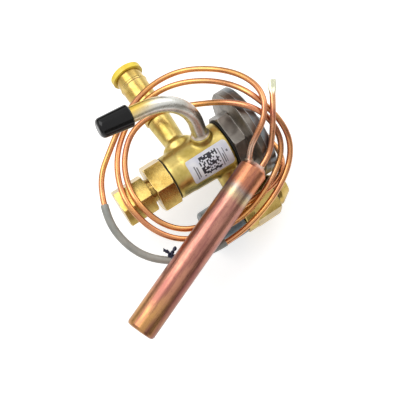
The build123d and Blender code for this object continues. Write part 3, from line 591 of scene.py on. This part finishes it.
# Zinc-plated tube: silver, with a painted yellow reflection on its upper back side, strongest towards the open end
ZINC_WITH_PAINTED_REFLECTION = Metal(
    "zinc_plate_painted_reflection", "#dcdcd6", "#b9b7ae", "#98958a", 0.30, Grain.PLATED, 0.6, 0.004,
    stain_and_painted_reflection=((-17.0, -10.0, 41.0), 32.5, 25.5, "#e0bc52"))
# Turned steel under clear zinc: blue-grey and half dull
BLUE_ZINC = Metal(
    "clear_zinc_plate", "#8a9296", "#666f75", "#4a5054", 0.38, Grain.TURNED, 0.12, 0.005, edge_mm=0.3,
    corner_wear_and_highlight="#c4cacc")
# Drawn copper tube: bright lines along it, paled by braze where it enters the bulb
COPPER_TUBE = Metal(
    "drawn_copper_tube", "#dfa260", "#c48263", "#8a5336", 0.26, Grain.DRAWN, 0.12, 0.003, drift_mm=20.0,
    stain_and_painted_reflection=((18.0, -68.0, 12.0), 14.0, 4.0, "#dcbba6"))
# The same tube, dipped in solder at its tip: smooth and grey-yellow there
SOLDERED_COPPER = Metal(
    "solder_tipped_copper", "#d79c6e", "#b5735a", "#81504a", 0.28, Grain.PLATED, 0.4, 0.006,
    stain_and_painted_reflection=((41.0, -49.0, 27.0), 7.0, 4.5, "#cfd0b4"))
# Silver braze, frozen from a melt: pale and smooth, with flux stains
SILVER_BRAZE = Metal("silver_braze", "#ddd3c4", "#b9a894", "#7a6a50", 0.32, Grain.PLATED, 0.4, 0.006)
# Ground stainless steel: even grey, with fine rings
STAINLESS = Metal("stainless_steel", "#b9bbbd", "#9b9da0", "#7d7f82", 0.30, Grain.TURNED, 0.1, 0.004)
# The last stop, at the brazed end, is a painted highlight on the end's rim
COPPER_BULB = HeatedCopper(
    "heated_copper_bulb", BULB_END, BULB_HEADING, BULB_LENGTH,
    ((0.0, "#b08152"), (0.10, "#c2925c"), (0.25, "#bd846a"), (0.55, "#bd8573"), (0.765, "#c08a78"),
     (0.80, "#cdb78e"), (0.835, "#aba196"), (0.87, "#d08a64"), (0.975, "#d68f66"), (1.0, "#e8d6cd")))
# Moulded rubber: black, with the mould's polish
BLACK_RUBBER = Polymer("black_rubber", "#08090a", "#040405", 0.16, 0.3, 0.006, ior=1.36)
# Moulded polyethylene: even yellow with a waxy, broad sheen
YELLOW_CAP = Polymer("yellow_polyethylene", "#fbe452", "#ecca38", 0.40, 0.4, 0.01)
# Extruded PVC: grey and satin
GREY_SLEEVE = Polymer("grey_pvc_sleeve", "#a9a69d", "#8e8f89", 0.34, 0.3, 0.01)
# Plastic-covered wire strip: navy and dull
NAVY_TIE = Polymer("navy_tie_strip", "#262a44", "#171a2e", 0.5, 0.3, 0.02)
# Pressed fibre: black-brown and matt
DARK_FIBRE = Polymer("dark_fibre_gasket", "#1c1917", "#0f0d0c", 0.75, 0.2, 0.02)
LABEL_FILM = PrintedLabel("white_label_film", start=-3.7, radius=10.62, low_angle=68.0)

FINISH_OF_NODE = {
    "valve_body": FORGED_BRASS, "outlet_fitting": TURNED_BRASS, "outlet_cap": YELLOW_CAP,
    "equalizer_tube": ZINC_WITH_PAINTED_REFLECTION, "equalizer_braze_ring": SILVER_BRAZE, "equalizer_cap": BLACK_RUBBER,
    "inlet_housing": TURNED_BRASS, "inlet_cap": BLUE_ZINC, "inlet_strainer": STAINLESS,
    "strainer_plug": TURNED_BRASS, "plug_gasket": DARK_FIBRE, "orifice_seat": STAINLESS,
    "valve_pin": STAINLESS, "pin_carrier": TURNED_BRASS, "push_rods": STAINLESS, "buffer_plate": TURNED_BRASS,
    "superheat_spring": STAINLESS, "spring_seat": TURNED_BRASS, "adjusting_stem": TURNED_BRASS,
    "stem_packing": DARK_FIBRE, "packing_gland": TURNED_BRASS, "bonnet": TURNED_BRASS,
    "bonnet_gasket": DARK_FIBRE, "seal_cap": TURNED_BRASS, "element_gasket": DARK_FIBRE,
    "element_base": ELEMENT_STEEL, "diaphragm": STAINLESS, "element_cover": COVER_STEEL,
    "capillary_tube": COPPER_TUBE, "capillary_sleeve": GREY_SLEEVE, "twist_tie": NAVY_TIE,
    "sensing_bulb": COPPER_BULB, "bulb_fill_tube": SOLDERED_COPPER, "label": LABEL_FILM,
}
_built: dict[str, Material] = {}


def material_of(finish: Finish) -> Material:
    """Make a finish's material, once.

    Args:
        finish: the finish.

    Returns:
        Its material.
    """
    if finish.name not in _built:
        _built[finish.name] = finish.build()
    return _built[finish.name]


def mesh_object(name: str, mesh: bmesh.types.BMesh) -> Object:
    """Put a bmesh in the scene as an object, and free it.

    Args:
        name: the object's name.
        mesh: the shape, in metres and in place.

    Returns:
        The object.
    """
    data = bpy.data.meshes.new(name)
    mesh.to_mesh(data)
    mesh.free()
    thing = bpy.data.objects.new(name, data)
    bpy.context.scene.collection.objects.link(thing)
    return thing


@dataclass
class Studio:
    """The camera, the lamps, the floor and the world."""

    eye: tuple = (-47.7, -146.2, 261.0)
    bearing: float = -28.0      # degrees
    height: float = 71.0
    roll: float = 6.0
    focal_px: float = 670.0
    frame_px: float = 400.0
    sensor: float = 36.0
    aim: tuple = (0.0, -45.0, 0.0)      # where the lamps point
    lamps: tuple = (("key", (-130, 110, 330), 300, 0.85), ("fill", (250, 40, 240), 240, 0.3))
    world_light: float = 0.5
    floor_z: float = -25.2
    floor_size: float = 3000.0
    floor_tone: str = "#dcdcdc"
    floor_glow: float = 0.62
    flags: tuple = (            # name, place, width, height and tone
        ("front_flag", (60, -300, 55), 620, 190, "#a8a39d"),
        ("left_flag", (-300, -60, 10), 240, 90, "#161410"),
        ("back_flag", (20, 230, 15), 560, 130, "#5e574e"))

    def place_camera(self) -> None:
        """Set up the camera by its bearing, height and roll."""
        az, el, roll = (math.radians(angle) for angle in (self.bearing, self.height, self.roll))
        back = Vector((math.sin(az) * math.cos(el), -math.cos(az) * math.cos(el), math.sin(el)))
        right = Vector((math.cos(az), math.sin(az), 0))
        up = back.cross(right)
        right_rolled = right * math.cos(roll) - up * math.sin(roll)
        up_rolled = right * math.sin(roll) + up * math.cos(roll)
        lens = bpy.data.cameras.new("camera")
        lens.sensor_width = self.sensor
        lens.lens = self.focal_px / self.frame_px * self.sensor
        lens.clip_start = 0.01
        camera = bpy.data.objects.new("camera", lens)
        turn = Matrix((right_rolled, up_rolled, back)).transposed().to_4x4()
        camera.matrix_world = Matrix.Translation(Vector(self.eye) * MM) @ turn
        bpy.context.scene.collection.objects.link(camera)
        bpy.context.scene.camera = camera

    def light(self) -> None:
        """Hang the lamps and set the world, which lights at half the strength that it shows."""
        scene = bpy.context.scene
        scene.view_settings.view_transform = "Standard"
        for name, spot, size, power in self.lamps:
            lamp = bpy.data.lights.new(name, "AREA")
            lamp.size = size * MM
            lamp.energy = power
            holder = bpy.data.objects.new(name, lamp)
            holder.location = Vector(spot) * MM
            way = Vector(self.aim) * MM - holder.location
            holder.rotation_euler = way.to_track_quat("-Z", "Y").to_euler()
            scene.collection.objects.link(holder)
        world = bpy.data.worlds.new("studio")
        scene.world = world
        world.use_nodes = True
        world.node_tree.nodes.clear()
        light = add_node(world, "ShaderNodeBackground", {"Color": WHITE, "Strength": self.world_light})
        shown = add_node(world, "ShaderNodeBackground", {"Color": WHITE, "Strength": 1.0})
        mix = add_node(
            world, "ShaderNodeMixShader", None, i0=seen_or_mirrored(world), i1=light.outputs[0],
            i2=shown.outputs[0])
        add_node(world, "ShaderNodeOutputWorld", None, Surface=mix.outputs[0])

    def stand_flags(self) -> None:
        """Stand dark cards low round the object. Only gloss sees them: they draw the dark
        bands that make polished metal read as metal."""
        for name, spot, wide, high, tone in self.flags:
            place = Vector(spot) * MM
            turn = (place - Vector((0, AXIS_Y, 0)) * MM).to_track_quat("Z", "Y").to_matrix()
            mesh = bmesh.new()
            bmesh.ops.create_grid(mesh, x_segments=1, y_segments=1, size=0.5)
            bmesh.ops.scale(mesh, verts=mesh.verts, vec=(wide * MM, high * MM, 1))
            bmesh.ops.rotate(mesh, verts=mesh.verts, cent=(0, 0, 0), matrix=turn)
            bmesh.ops.translate(mesh, verts=mesh.verts, vec=place)
            card = mesh_object(name, mesh)
            material = blank_material(name)
            matte = add_node(material, "ShaderNodeBsdfDiffuse", {"Color": linear(tone)})
            add_node(material, "ShaderNodeOutputMaterial", None, Surface=matte.outputs[0])
            card.data.materials.append(material)
            card.visible_camera = False
            card.visible_diffuse = False
            card.visible_shadow = False

    def lay_floor(self) -> None:
        """Lay the pale floor just under the object. It glows where it is looked at, so that it
        shows near white and still takes a shadow."""
        mesh = bmesh.new()
        bmesh.ops.create_grid(mesh, x_segments=1, y_segments=1, size=self.floor_size * MM)
        bmesh.ops.translate(mesh, verts=mesh.verts, vec=(0, 0, self.floor_z * MM))
        floor = mesh_object("floor", mesh)
        material = blank_material("studio_floor")
        matte = add_node(material, "ShaderNodeBsdfDiffuse", {"Color": linear(self.floor_tone)})
        glow = add_node(material, "ShaderNodeEmission", {"Color": WHITE, "Strength": self.floor_glow})
        both = add_node(material, "ShaderNodeAddShader", None, i0=matte.outputs[0], i1=glow.outputs[0])
        mix = add_node(
            material, "ShaderNodeMixShader", None, i0=seen_or_mirrored(material), i1=matte.outputs[0],
            i2=both.outputs[0])
        add_node(material, "ShaderNodeOutputMaterial", None, Surface=mix.outputs[0])
        floor.data.materials.append(material)


def round_curve(name: str, radius: float, steps: int) -> bpy.types.Curve:
    """Make an empty curve with a round section.

    Args:
        name: its name.
        radius: the section's radius in millimetres, or 0 for a bare line.
        steps: how many pieces each stretch is drawn in.

    Returns:
        The curve.
    """
    curve = bpy.data.curves.new(name, "CURVE")
    curve.dimensions = "3D"
    curve.bevel_depth = radius * MM
    curve.bevel_resolution = 5
    curve.use_fill_caps = True
    curve.resolution_u = steps
    return curve


def lay_spline(curve: bpy.types.Curve, points: list) -> None:
    """Add a smooth spline to a curve.

    Args:
        curve: the curve.
        points: the spline's control points in millimetres.
    """
    spline = curve.splines.new("NURBS")
    spline.points.add(len(points) - 1)
    for point, place in zip(spline.points, points):
        point.co = (place[0] * MM, place[1] * MM, place[2] * MM, 1.0)
    spline.order_u = 3
    spline.use_endpoint_u = True


def mesh_of_curve(curve: bpy.types.Curve) -> bpy.types.Mesh:
    """Turn a curve to a mesh.

    Args:
        curve: the curve, which isn't in the scene.

    Returns:
        The mesh.
    """
    line = bpy.data.objects.new(curve.name, curve)
    bpy.context.scene.collection.objects.link(line)
    shape = line.evaluated_get(bpy.context.evaluated_depsgraph_get())
    mesh = bpy.data.meshes.new_from_object(shape)
    bpy.data.objects.remove(line)
    return mesh


def centre_line(points: list, steps: int) -> list:
    """Follow the smooth line of a route of control points.

    Args:
        points: the route in millimetres.
        steps: how many pieces each stretch is drawn in.

    Returns:
        Places along the spline, in metres.
    """
    curve = round_curve("line", 0.0, steps)
    lay_spline(curve, points)
    mesh = mesh_of_curve(curve)
    places = [vertex.co.copy() for vertex in mesh.vertices]
    bpy.data.meshes.remove(mesh)
    return places


def settle(piece: Object, finish: Finish, body: str, node: str) -> Object:
    """Dress a piece and fix it to its body.

    Args:
        piece: the piece, in the scene and in place.
        finish: its finish.
        body: the CAD body it rides on.
        node: the CAD node it replaces, or an empty string.

    Returns:
        The piece.
    """
    piece.data.materials.append(material_of(finish))
    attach(piece, body)
    if node:
        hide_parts(node)
    return piece


def finish_mesh(
        mesh: bmesh.types.BMesh, name: str, finish: Finish, body: str, node: str) -> Object:
    """Turn a bmesh to a smooth-shaded piece that stands for a CAD node.

    Args:
        mesh: the shape, in metres and in place. It is freed.
        name: the piece's name.
        finish: its finish.
        body: the CAD body it rides on.
        node: the CAD node it replaces, or an empty string.

    Returns:
        The piece.
    """
    piece = mesh_object(name, mesh)
    for polygon in piece.data.polygons:
        polygon.use_smooth = True
    return settle(piece, finish, body, node)


@dataclass
class ValveForging:
    """The hot-forged body, its branches blended into the barrel as the die leaves them."""

    weld: float = 0.002
    voxel: float = 0.34
    rounds: int = 15
    softness: float = 0.5
    bore_reach: float = 9.7     # everything nearer the axis than this is machined, and stays crisp

    def build(self) -> Object:
        """Blend the body's corners.

        Returns:
            The body.
        """
        source = bmesh.new()
        source.from_mesh(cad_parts["valve_body"].data)
        bmesh.ops.remove_doubles(source, verts=source.verts, dist=self.weld * MM)
        machined = BVHTree.FromBMesh(source)
        blank = mesh_object("forging", source)
        remesh = blank.modifiers.new("blend", "REMESH")
        remesh.mode = "VOXEL"
        remesh.voxel_size = self.voxel * MM
        shape = blank.evaluated_get(bpy.context.evaluated_depsgraph_get())
        mesh = bmesh.new()
        mesh.from_mesh(shape.data)
        bpy.data.objects.remove(blank)
        for _ in range(self.rounds):
            bmesh.ops.smooth_vert(
                mesh, verts=mesh.verts, factor=self.softness, use_axis_x=True, use_axis_y=True, use_axis_z=True)
        for vert in mesh.verts:
            if math.hypot(vert.co.y - AXIS_Y * MM, vert.co.z) < self.bore_reach * MM:
                vert.co = machined.find_nearest(vert.co)[0]
        return finish_mesh(mesh, "forged_body", FORGED_BRASS, "valve", "valve_body")


@dataclass
class BonnetThread:
    """The stretch of the stub's thread that shows between the bonnet and the seal cap."""

    foot: float = 5.0           # radius of the ridge's foot, 0.1 mm inside the stub
    crest: float = 5.55
    start: float = -21.1
    end: float = -19.6
    turns: int = 2
    ridge: float = 0.9          # share of the pitch that the ridge takes
    steps: int = 48             # a turn

    def build(self) -> Object:
        """Wind the thread's ridge round the stub.

        Returns:
            The ridge.
        """
        mesh = bmesh.new()
        pitch = (self.end - self.start) / (self.turns + self.ridge)
        width = pitch * self.ridge
        corners = ((0.0, self.foot), (width / 2, self.crest), (width, self.foot))
        ring = [mesh.verts.new(((self.start + x) * MM, AXIS_Y * MM, z * MM)) for x, z in corners]
        face = mesh.faces.new(ring)
        bmesh.ops.spin(
            mesh, geom=[face, *face.edges, *face.verts], cent=(0, AXIS_Y * MM, 0), axis=(1, 0, 0),
            dvec=(pitch / self.steps * MM, 0, 0), angle=math.tau * self.turns, steps=self.steps * self.turns,
            use_merge=False, use_duplicate=False)
        bmesh.ops.recalc_face_normals(mesh, faces=mesh.faces)
        return finish_mesh(mesh, "bonnet_stub_thread", TURNED_BRASS, "valve", "")


@dataclass
class CapillaryCoil:
    """The capillary, three times round the valve from the power element to the bulb, and the
    grey sleeve over its outer turn."""

    radius: float = 1.2
    length: float = 674.0
    steps: int = 10             # pieces that each stretch is drawn in
    sleeve_radius: float = 1.6
    sleeve_from: tuple = (-7.4, -87.6, -0.7)
    sleeve_to: tuple = (-40.1, -50.7, 11.4)
    route: list = field(default_factory=lambda: [
        (33.6, -53.5, 0.0), (33.6, -59.5, 0.0), (34.2, -67.9, 0.5), (31.2, -74.3, 0.9),
        (25.6, -78.3, 1.0), (16.5, -79.1, 0.8), (7.0, -79.2, 0.7), (-4.0, -78.0, 0.9),
        (-16.3, -75.9, 1.2), (-24.4, -69.0, 4.8), (-28.3, -59.3, 10.6), (-27.9, -48.9, 11.2),
        (-23.0, -37.5, 10.0), (-14.0, -29.0, 10.0), (-2.2, -27.2, 10.2), (9.0, -31.6, 11.0),
        (17.0, -37.8, 15.0), (22.4, -44.6, 21.2), (27.9, -51.6, 23.6), (31.5, -57.6, 22.3),
        (33.8, -62.2, 17.0), (33.8, -68.0, 11.6), (29.6, -73.4, 7.2), (20.4, -78.6, 4.4),
        (6.8, -83.3, 2.0), (-7.7, -82.4, 1.0), (-20.3, -78.4, 1.0), (-28.8, -69.3, 4.8),
        (-32.3, -57.2, 10.8), (-30.6, -46.7, 10.8), (-25.5, -36.0, 10.0), (-17.4, -27.4, 9.0),
        (-6.9, -21.2, 9.4), (5.1, -19.4, 9.8), (15.7, -23.0, 12.2), (24.6, -31.6, 17.0),
        (29.8, -42.1, 22.6), (32.5, -50.6, 24.0), (35.1, -57.3, 21.0), (37.3, -63.8, 15.8),
        (37.0, -70.0, 10.2), (32.8, -75.8, 5.8), (25.1, -80.9, 3.2), (14.0, -85.2, 0.8),
        (0.2, -87.9, -0.4), (-14.8, -87.2, -1.0), (-28.3, -82.8, -1.0), (-38.4, -73.7, 1.6),
        (-42.3, -61.8, 8.6), (-40.1, -50.7, 11.4), (-34.8, -39.1, 10.8), (-26.1, -32.1, 11.2),
        (-16.3, -24.6, 11.6), (-5.1, -18.3, 11.2), (7.0, -15.7, 11.0), (18.7, -18.4, 12.8),
        (28.2, -27.8, 17.6), (33.6, -37.8, 22.4), (35.5, -47.6, 25.6), (33.6, -55.4, 26.6),
        (29.0, -61.0, 24.6), (24.2, -63.2, 20.4), (20.1, -64.9, 14.6), (17.8, -68.1, 10.9),
    ])

    def build(self) -> Object:
        """Lay the tube as one smooth curve.

        Returns:
            The curve object.
        """
        curve = round_curve("capillary", self.radius, self.steps)
        lay_spline(curve, self.route)
        tube = bpy.data.objects.new("capillary", curve)
        bpy.context.scene.collection.objects.link(tube)
        return settle(tube, COPPER_TUBE, "valve", "capillary_tube")

    def sleeve(self) -> Object:
        """Slide the sleeve over its stretch of the line.

        Returns:
            The sleeve.
        """
        line = centre_line(self.route, self.steps)
        first = self.nearest(line, self.sleeve_from)
        last = self.nearest(line, self.sleeve_to)
        curve = round_curve("sleeve", self.sleeve_radius, self.steps)
        spline = curve.splines.new("POLY")
        spline.points.add(last - first)
        for point, place in zip(spline.points, line[first:last + 1]):
            point.co = (*place, 1.0)
        sleeve = bpy.data.objects.new("capillary_sleeve_cover", curve)
        bpy.context.scene.collection.objects.link(sleeve)
        return settle(sleeve, GREY_SLEEVE, "valve", "capillary_sleeve")

    def nearest(self, line: list, place: tuple) -> int:
        """The index of the line's point nearest to a place given in millimetres."""
        target = Vector(place) * MM
        return min(range(len(line)), key=lambda index: (line[index] - target).length)


@dataclass
class TwistTie:
    """A plastic-covered wire strip, wrapped round the sleeve and twisted into two short tails."""

    loop_radius: float = 2.0
    loop_steps: int = 36
    strip_width: float = 2.2
    strip_thickness: float = 0.35
    centre: tuple = (-28.2, -82.0, -0.6)
    heading: tuple = (-0.86, 0.50, 0.10)
    tail_half_width: float = 0.77
    tail_half_thickness: float = 0.3
    tail_steps: int = 4         # between two of a tail's places
    tail_twist: float = 34.0    # degrees a step
    tails: tuple = (
        ((-28.9, -80.4, 0.9), (-28.5, -79.2, 1.9), (-28.9, -77.9, 2.5), (-29.6, -76.9, 2.8)),
        ((-28.6, -80.4, 1.1), (-27.4, -79.7, 2.0), (-26.2, -79.2, 2.6), (-24.8, -78.9, 2.9)))

    def build(self) -> Object:
        """Wrap the loop and twist the tails.

        Returns:
            The tie.
        """
        mesh = bmesh.new()
        along = Vector(self.heading).normalized()
        out = Vector((0, 0, 1))
        out = (out - along * out.dot(along)).normalized()
        foot = Vector(self.centre) + out * self.loop_radius
        corners = [
            foot + along * (side * self.strip_width / 2) + out * (rise * self.strip_thickness)
            for side, rise in ((-1, 0), (1, 0), (1, 1), (-1, 1))]
        face = mesh.faces.new([mesh.verts.new(corner * MM) for corner in corners])
        bmesh.ops.spin(
            mesh, geom=[face, *face.edges, *face.verts], cent=Vector(self.centre) * MM, axis=along,
            dvec=(0, 0, 0), angle=math.tau, steps=self.loop_steps, use_merge=True, use_duplicate=False)
        for tail in self.tails:
            self.twist(mesh, [Vector(place) for place in tail])
        bmesh.ops.remove_doubles(mesh, verts=mesh.verts, dist=0.001 * MM)
        bmesh.ops.recalc_face_normals(mesh, faces=mesh.faces)
        return finish_mesh(mesh, "twist_tie_strip", NAVY_TIE, "valve", "twist_tie")

    def twist(self, mesh: bmesh.types.BMesh, places: list) -> None:
        """Extrude the strip's narrow section along a tail, turning it as it goes.

        Args:
            mesh: the mesh to add to.
            places: the tail's line in millimetres.
        """
        way = (places[1] - places[0]).normalized()
        side = way.orthogonal().normalized()
        up = way.cross(side)
        corners = [
            places[0] + side * (a * self.tail_half_width) + up * (b * self.tail_half_thickness)
            for a, b in ((-1, -1), (1, -1), (1, 1), (-1, 1))]
        face = mesh.faces.new([mesh.verts.new(corner * MM) for corner in corners])
        for start, stop in zip(places, places[1:]):
            for _ in range(self.tail_steps):
                grown = bmesh.ops.extrude_face_region(mesh, geom=[face])
                verts = [item for item in grown["geom"] if isinstance(item, bmesh.types.BMVert)]
                mesh.faces.remove(face)
                face = next(item for item in grown["geom"] if isinstance(item, bmesh.types.BMFace))
                bmesh.ops.translate(mesh, verts=verts, vec=(stop - start) / self.tail_steps * MM)
                middle = sum((vert.co for vert in verts), Vector()) / len(verts)
                bmesh.ops.rotate(
                    mesh, verts=verts, cent=middle,
                    matrix=Matrix.Rotation(math.radians(self.tail_twist), 3, (stop - start).normalized()))


@dataclass
class FillTube:
    """The bulb's filling tube, pinched flat and soldered at its tip."""

    radius: float = 1.2
    steps: int = 12             # pieces that each stretch is drawn in
    flat_length: float = 4.5
    flat_thickness: float = 1.1
    flat_width: float = 3.2
    pinch_back: float = 2.0     # how far before the tip the flattening starts
    pinch_run: float = 3.5      # and how long it takes
    route: list = field(default_factory=lambda: [
        (19.0, -73.0, 10.7), (24.8, -71.0, 12.2), (28.9, -67.6, 15.5), (32.1, -63.2, 21.4),
        (35.9, -57.7, 24.2), (39.0, -52.8, 25.4),
    ])

    def build(self) -> Object:
        """Lay the tube and pinch its end.

        Returns:
            The tube.
        """
        places = [Vector(place) for place in self.route]
        tip = places[-1]
        heading = (tip - places[-2]).normalized()
        ends = [*places, tip + heading * self.flat_length * 0.5, tip + heading * self.flat_length]
        curve = round_curve("fill", self.radius, self.steps)
        lay_spline(curve, ends)
        data = mesh_of_curve(curve)
        mesh = bmesh.new()
        mesh.from_mesh(data)
        bpy.data.meshes.remove(data)
        for vert in mesh.verts:
            self.pinch(vert, tip, heading)
        bmesh.ops.recalc_face_normals(mesh, faces=mesh.faces)
        return finish_mesh(mesh, "bulb_filling_tube", SOLDERED_COPPER, "valve", "bulb_fill_tube")

    def pinch(self, vert: bmesh.types.BMVert, tip: Vector, heading: Vector) -> None:
        """Press one vertex flat if it lies near the tip.

        Args:
            vert: the vertex.
            tip: where the round tube ends, in millimetres.
            heading: the tube's direction there.
        """
        offset = vert.co / MM - tip
        reach = offset.dot(heading)
        if reach <= -self.pinch_back or (offset - heading * reach).length >= 3 * self.radius:
            return
        wide = heading.cross(Vector((0, 0, 1))).normalized()
        thin = heading.cross(wide)
        share = min(1.0, (reach + self.pinch_back) / self.pinch_run)
        share = share * share * (3 - 2 * share)
        across = offset.dot(wide) * (1 + share * (self.flat_width / (2 * self.radius) - 1))
        through = offset.dot(thin) * (1 + share * (self.flat_thickness / (2 * self.radius) - 1))
        vert.co = (tip + heading * reach + wide * across + thin * through) * MM


@dataclass
class BrazeBeads:
    """The two beads of braze that close the bulb's end round the tubes."""

    entries: tuple = ((17.9, -67.95, 11.1), (19.1, -72.95, 10.75))
    profile: tuple = ((2.25, -0.1), (2.0, 0.12), (1.62, 0.45), (1.4, 0.95), (1.28, 1.5))   # radius, height
    steps: int = 28

    def build(self) -> Object:
        """Spin each bead round its tube.

        Returns:
            The beads, as one piece.
        """
        mesh = bmesh.new()
        axis = Vector(BULB_HEADING).normalized()
        side = axis.orthogonal().normalized()
        face = Vector(BULB_END)
        for entry in self.entries:
            place = Vector(entry)
            place -= axis * (place - face).dot(axis)
            verts = [
                mesh.verts.new((place + side * radius + axis * height) * MM) for radius, height in self.profile]
            edges = [mesh.edges.new(pair) for pair in zip(verts, verts[1:])]
            bmesh.ops.spin(
                mesh, geom=[*verts, *edges], cent=place * MM, axis=axis, dvec=(0, 0, 0), angle=math.tau,
                steps=self.steps, use_merge=True, use_duplicate=False)
        bmesh.ops.remove_doubles(mesh, verts=mesh.verts, dist=0.001 * MM)
        bmesh.ops.holes_fill(mesh, edges=mesh.edges, sides=64)
        bmesh.ops.recalc_face_normals(mesh, faces=mesh.faces)
        return finish_mesh(mesh, "bulb_end_braze_beads", SILVER_BRAZE, "valve", "")


def main() -> None:
    """Build the scene and report each piece."""
    logging.basicConfig(level=logging.INFO, format="%(message)s")
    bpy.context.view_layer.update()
    studio = Studio()
    studio.place_camera()
    studio.light()
    studio.lay_floor()
    studio.stand_flags()
    for name, finish in FINISH_OF_NODE.items():
        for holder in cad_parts[name].material_slots:
            holder.material = material_of(finish)
        log.info("%s: CAD node in %s", name, finish.name)
    coil = CapillaryCoil()
    body, thread, fill, beads = (maker().build() for maker in (ValveForging, BonnetThread, FillTube, BrazeBeads))
    tube = coil.build()
    sleeve = coil.sleeve()
    tie = TwistTie().build()
    for piece in (body, thread, fill, beads, tube, sleeve, tie):
        log.info("%s: made here in %s", piece.name, piece.data.materials[0].name)


if __name__ == "__main__":
    main()
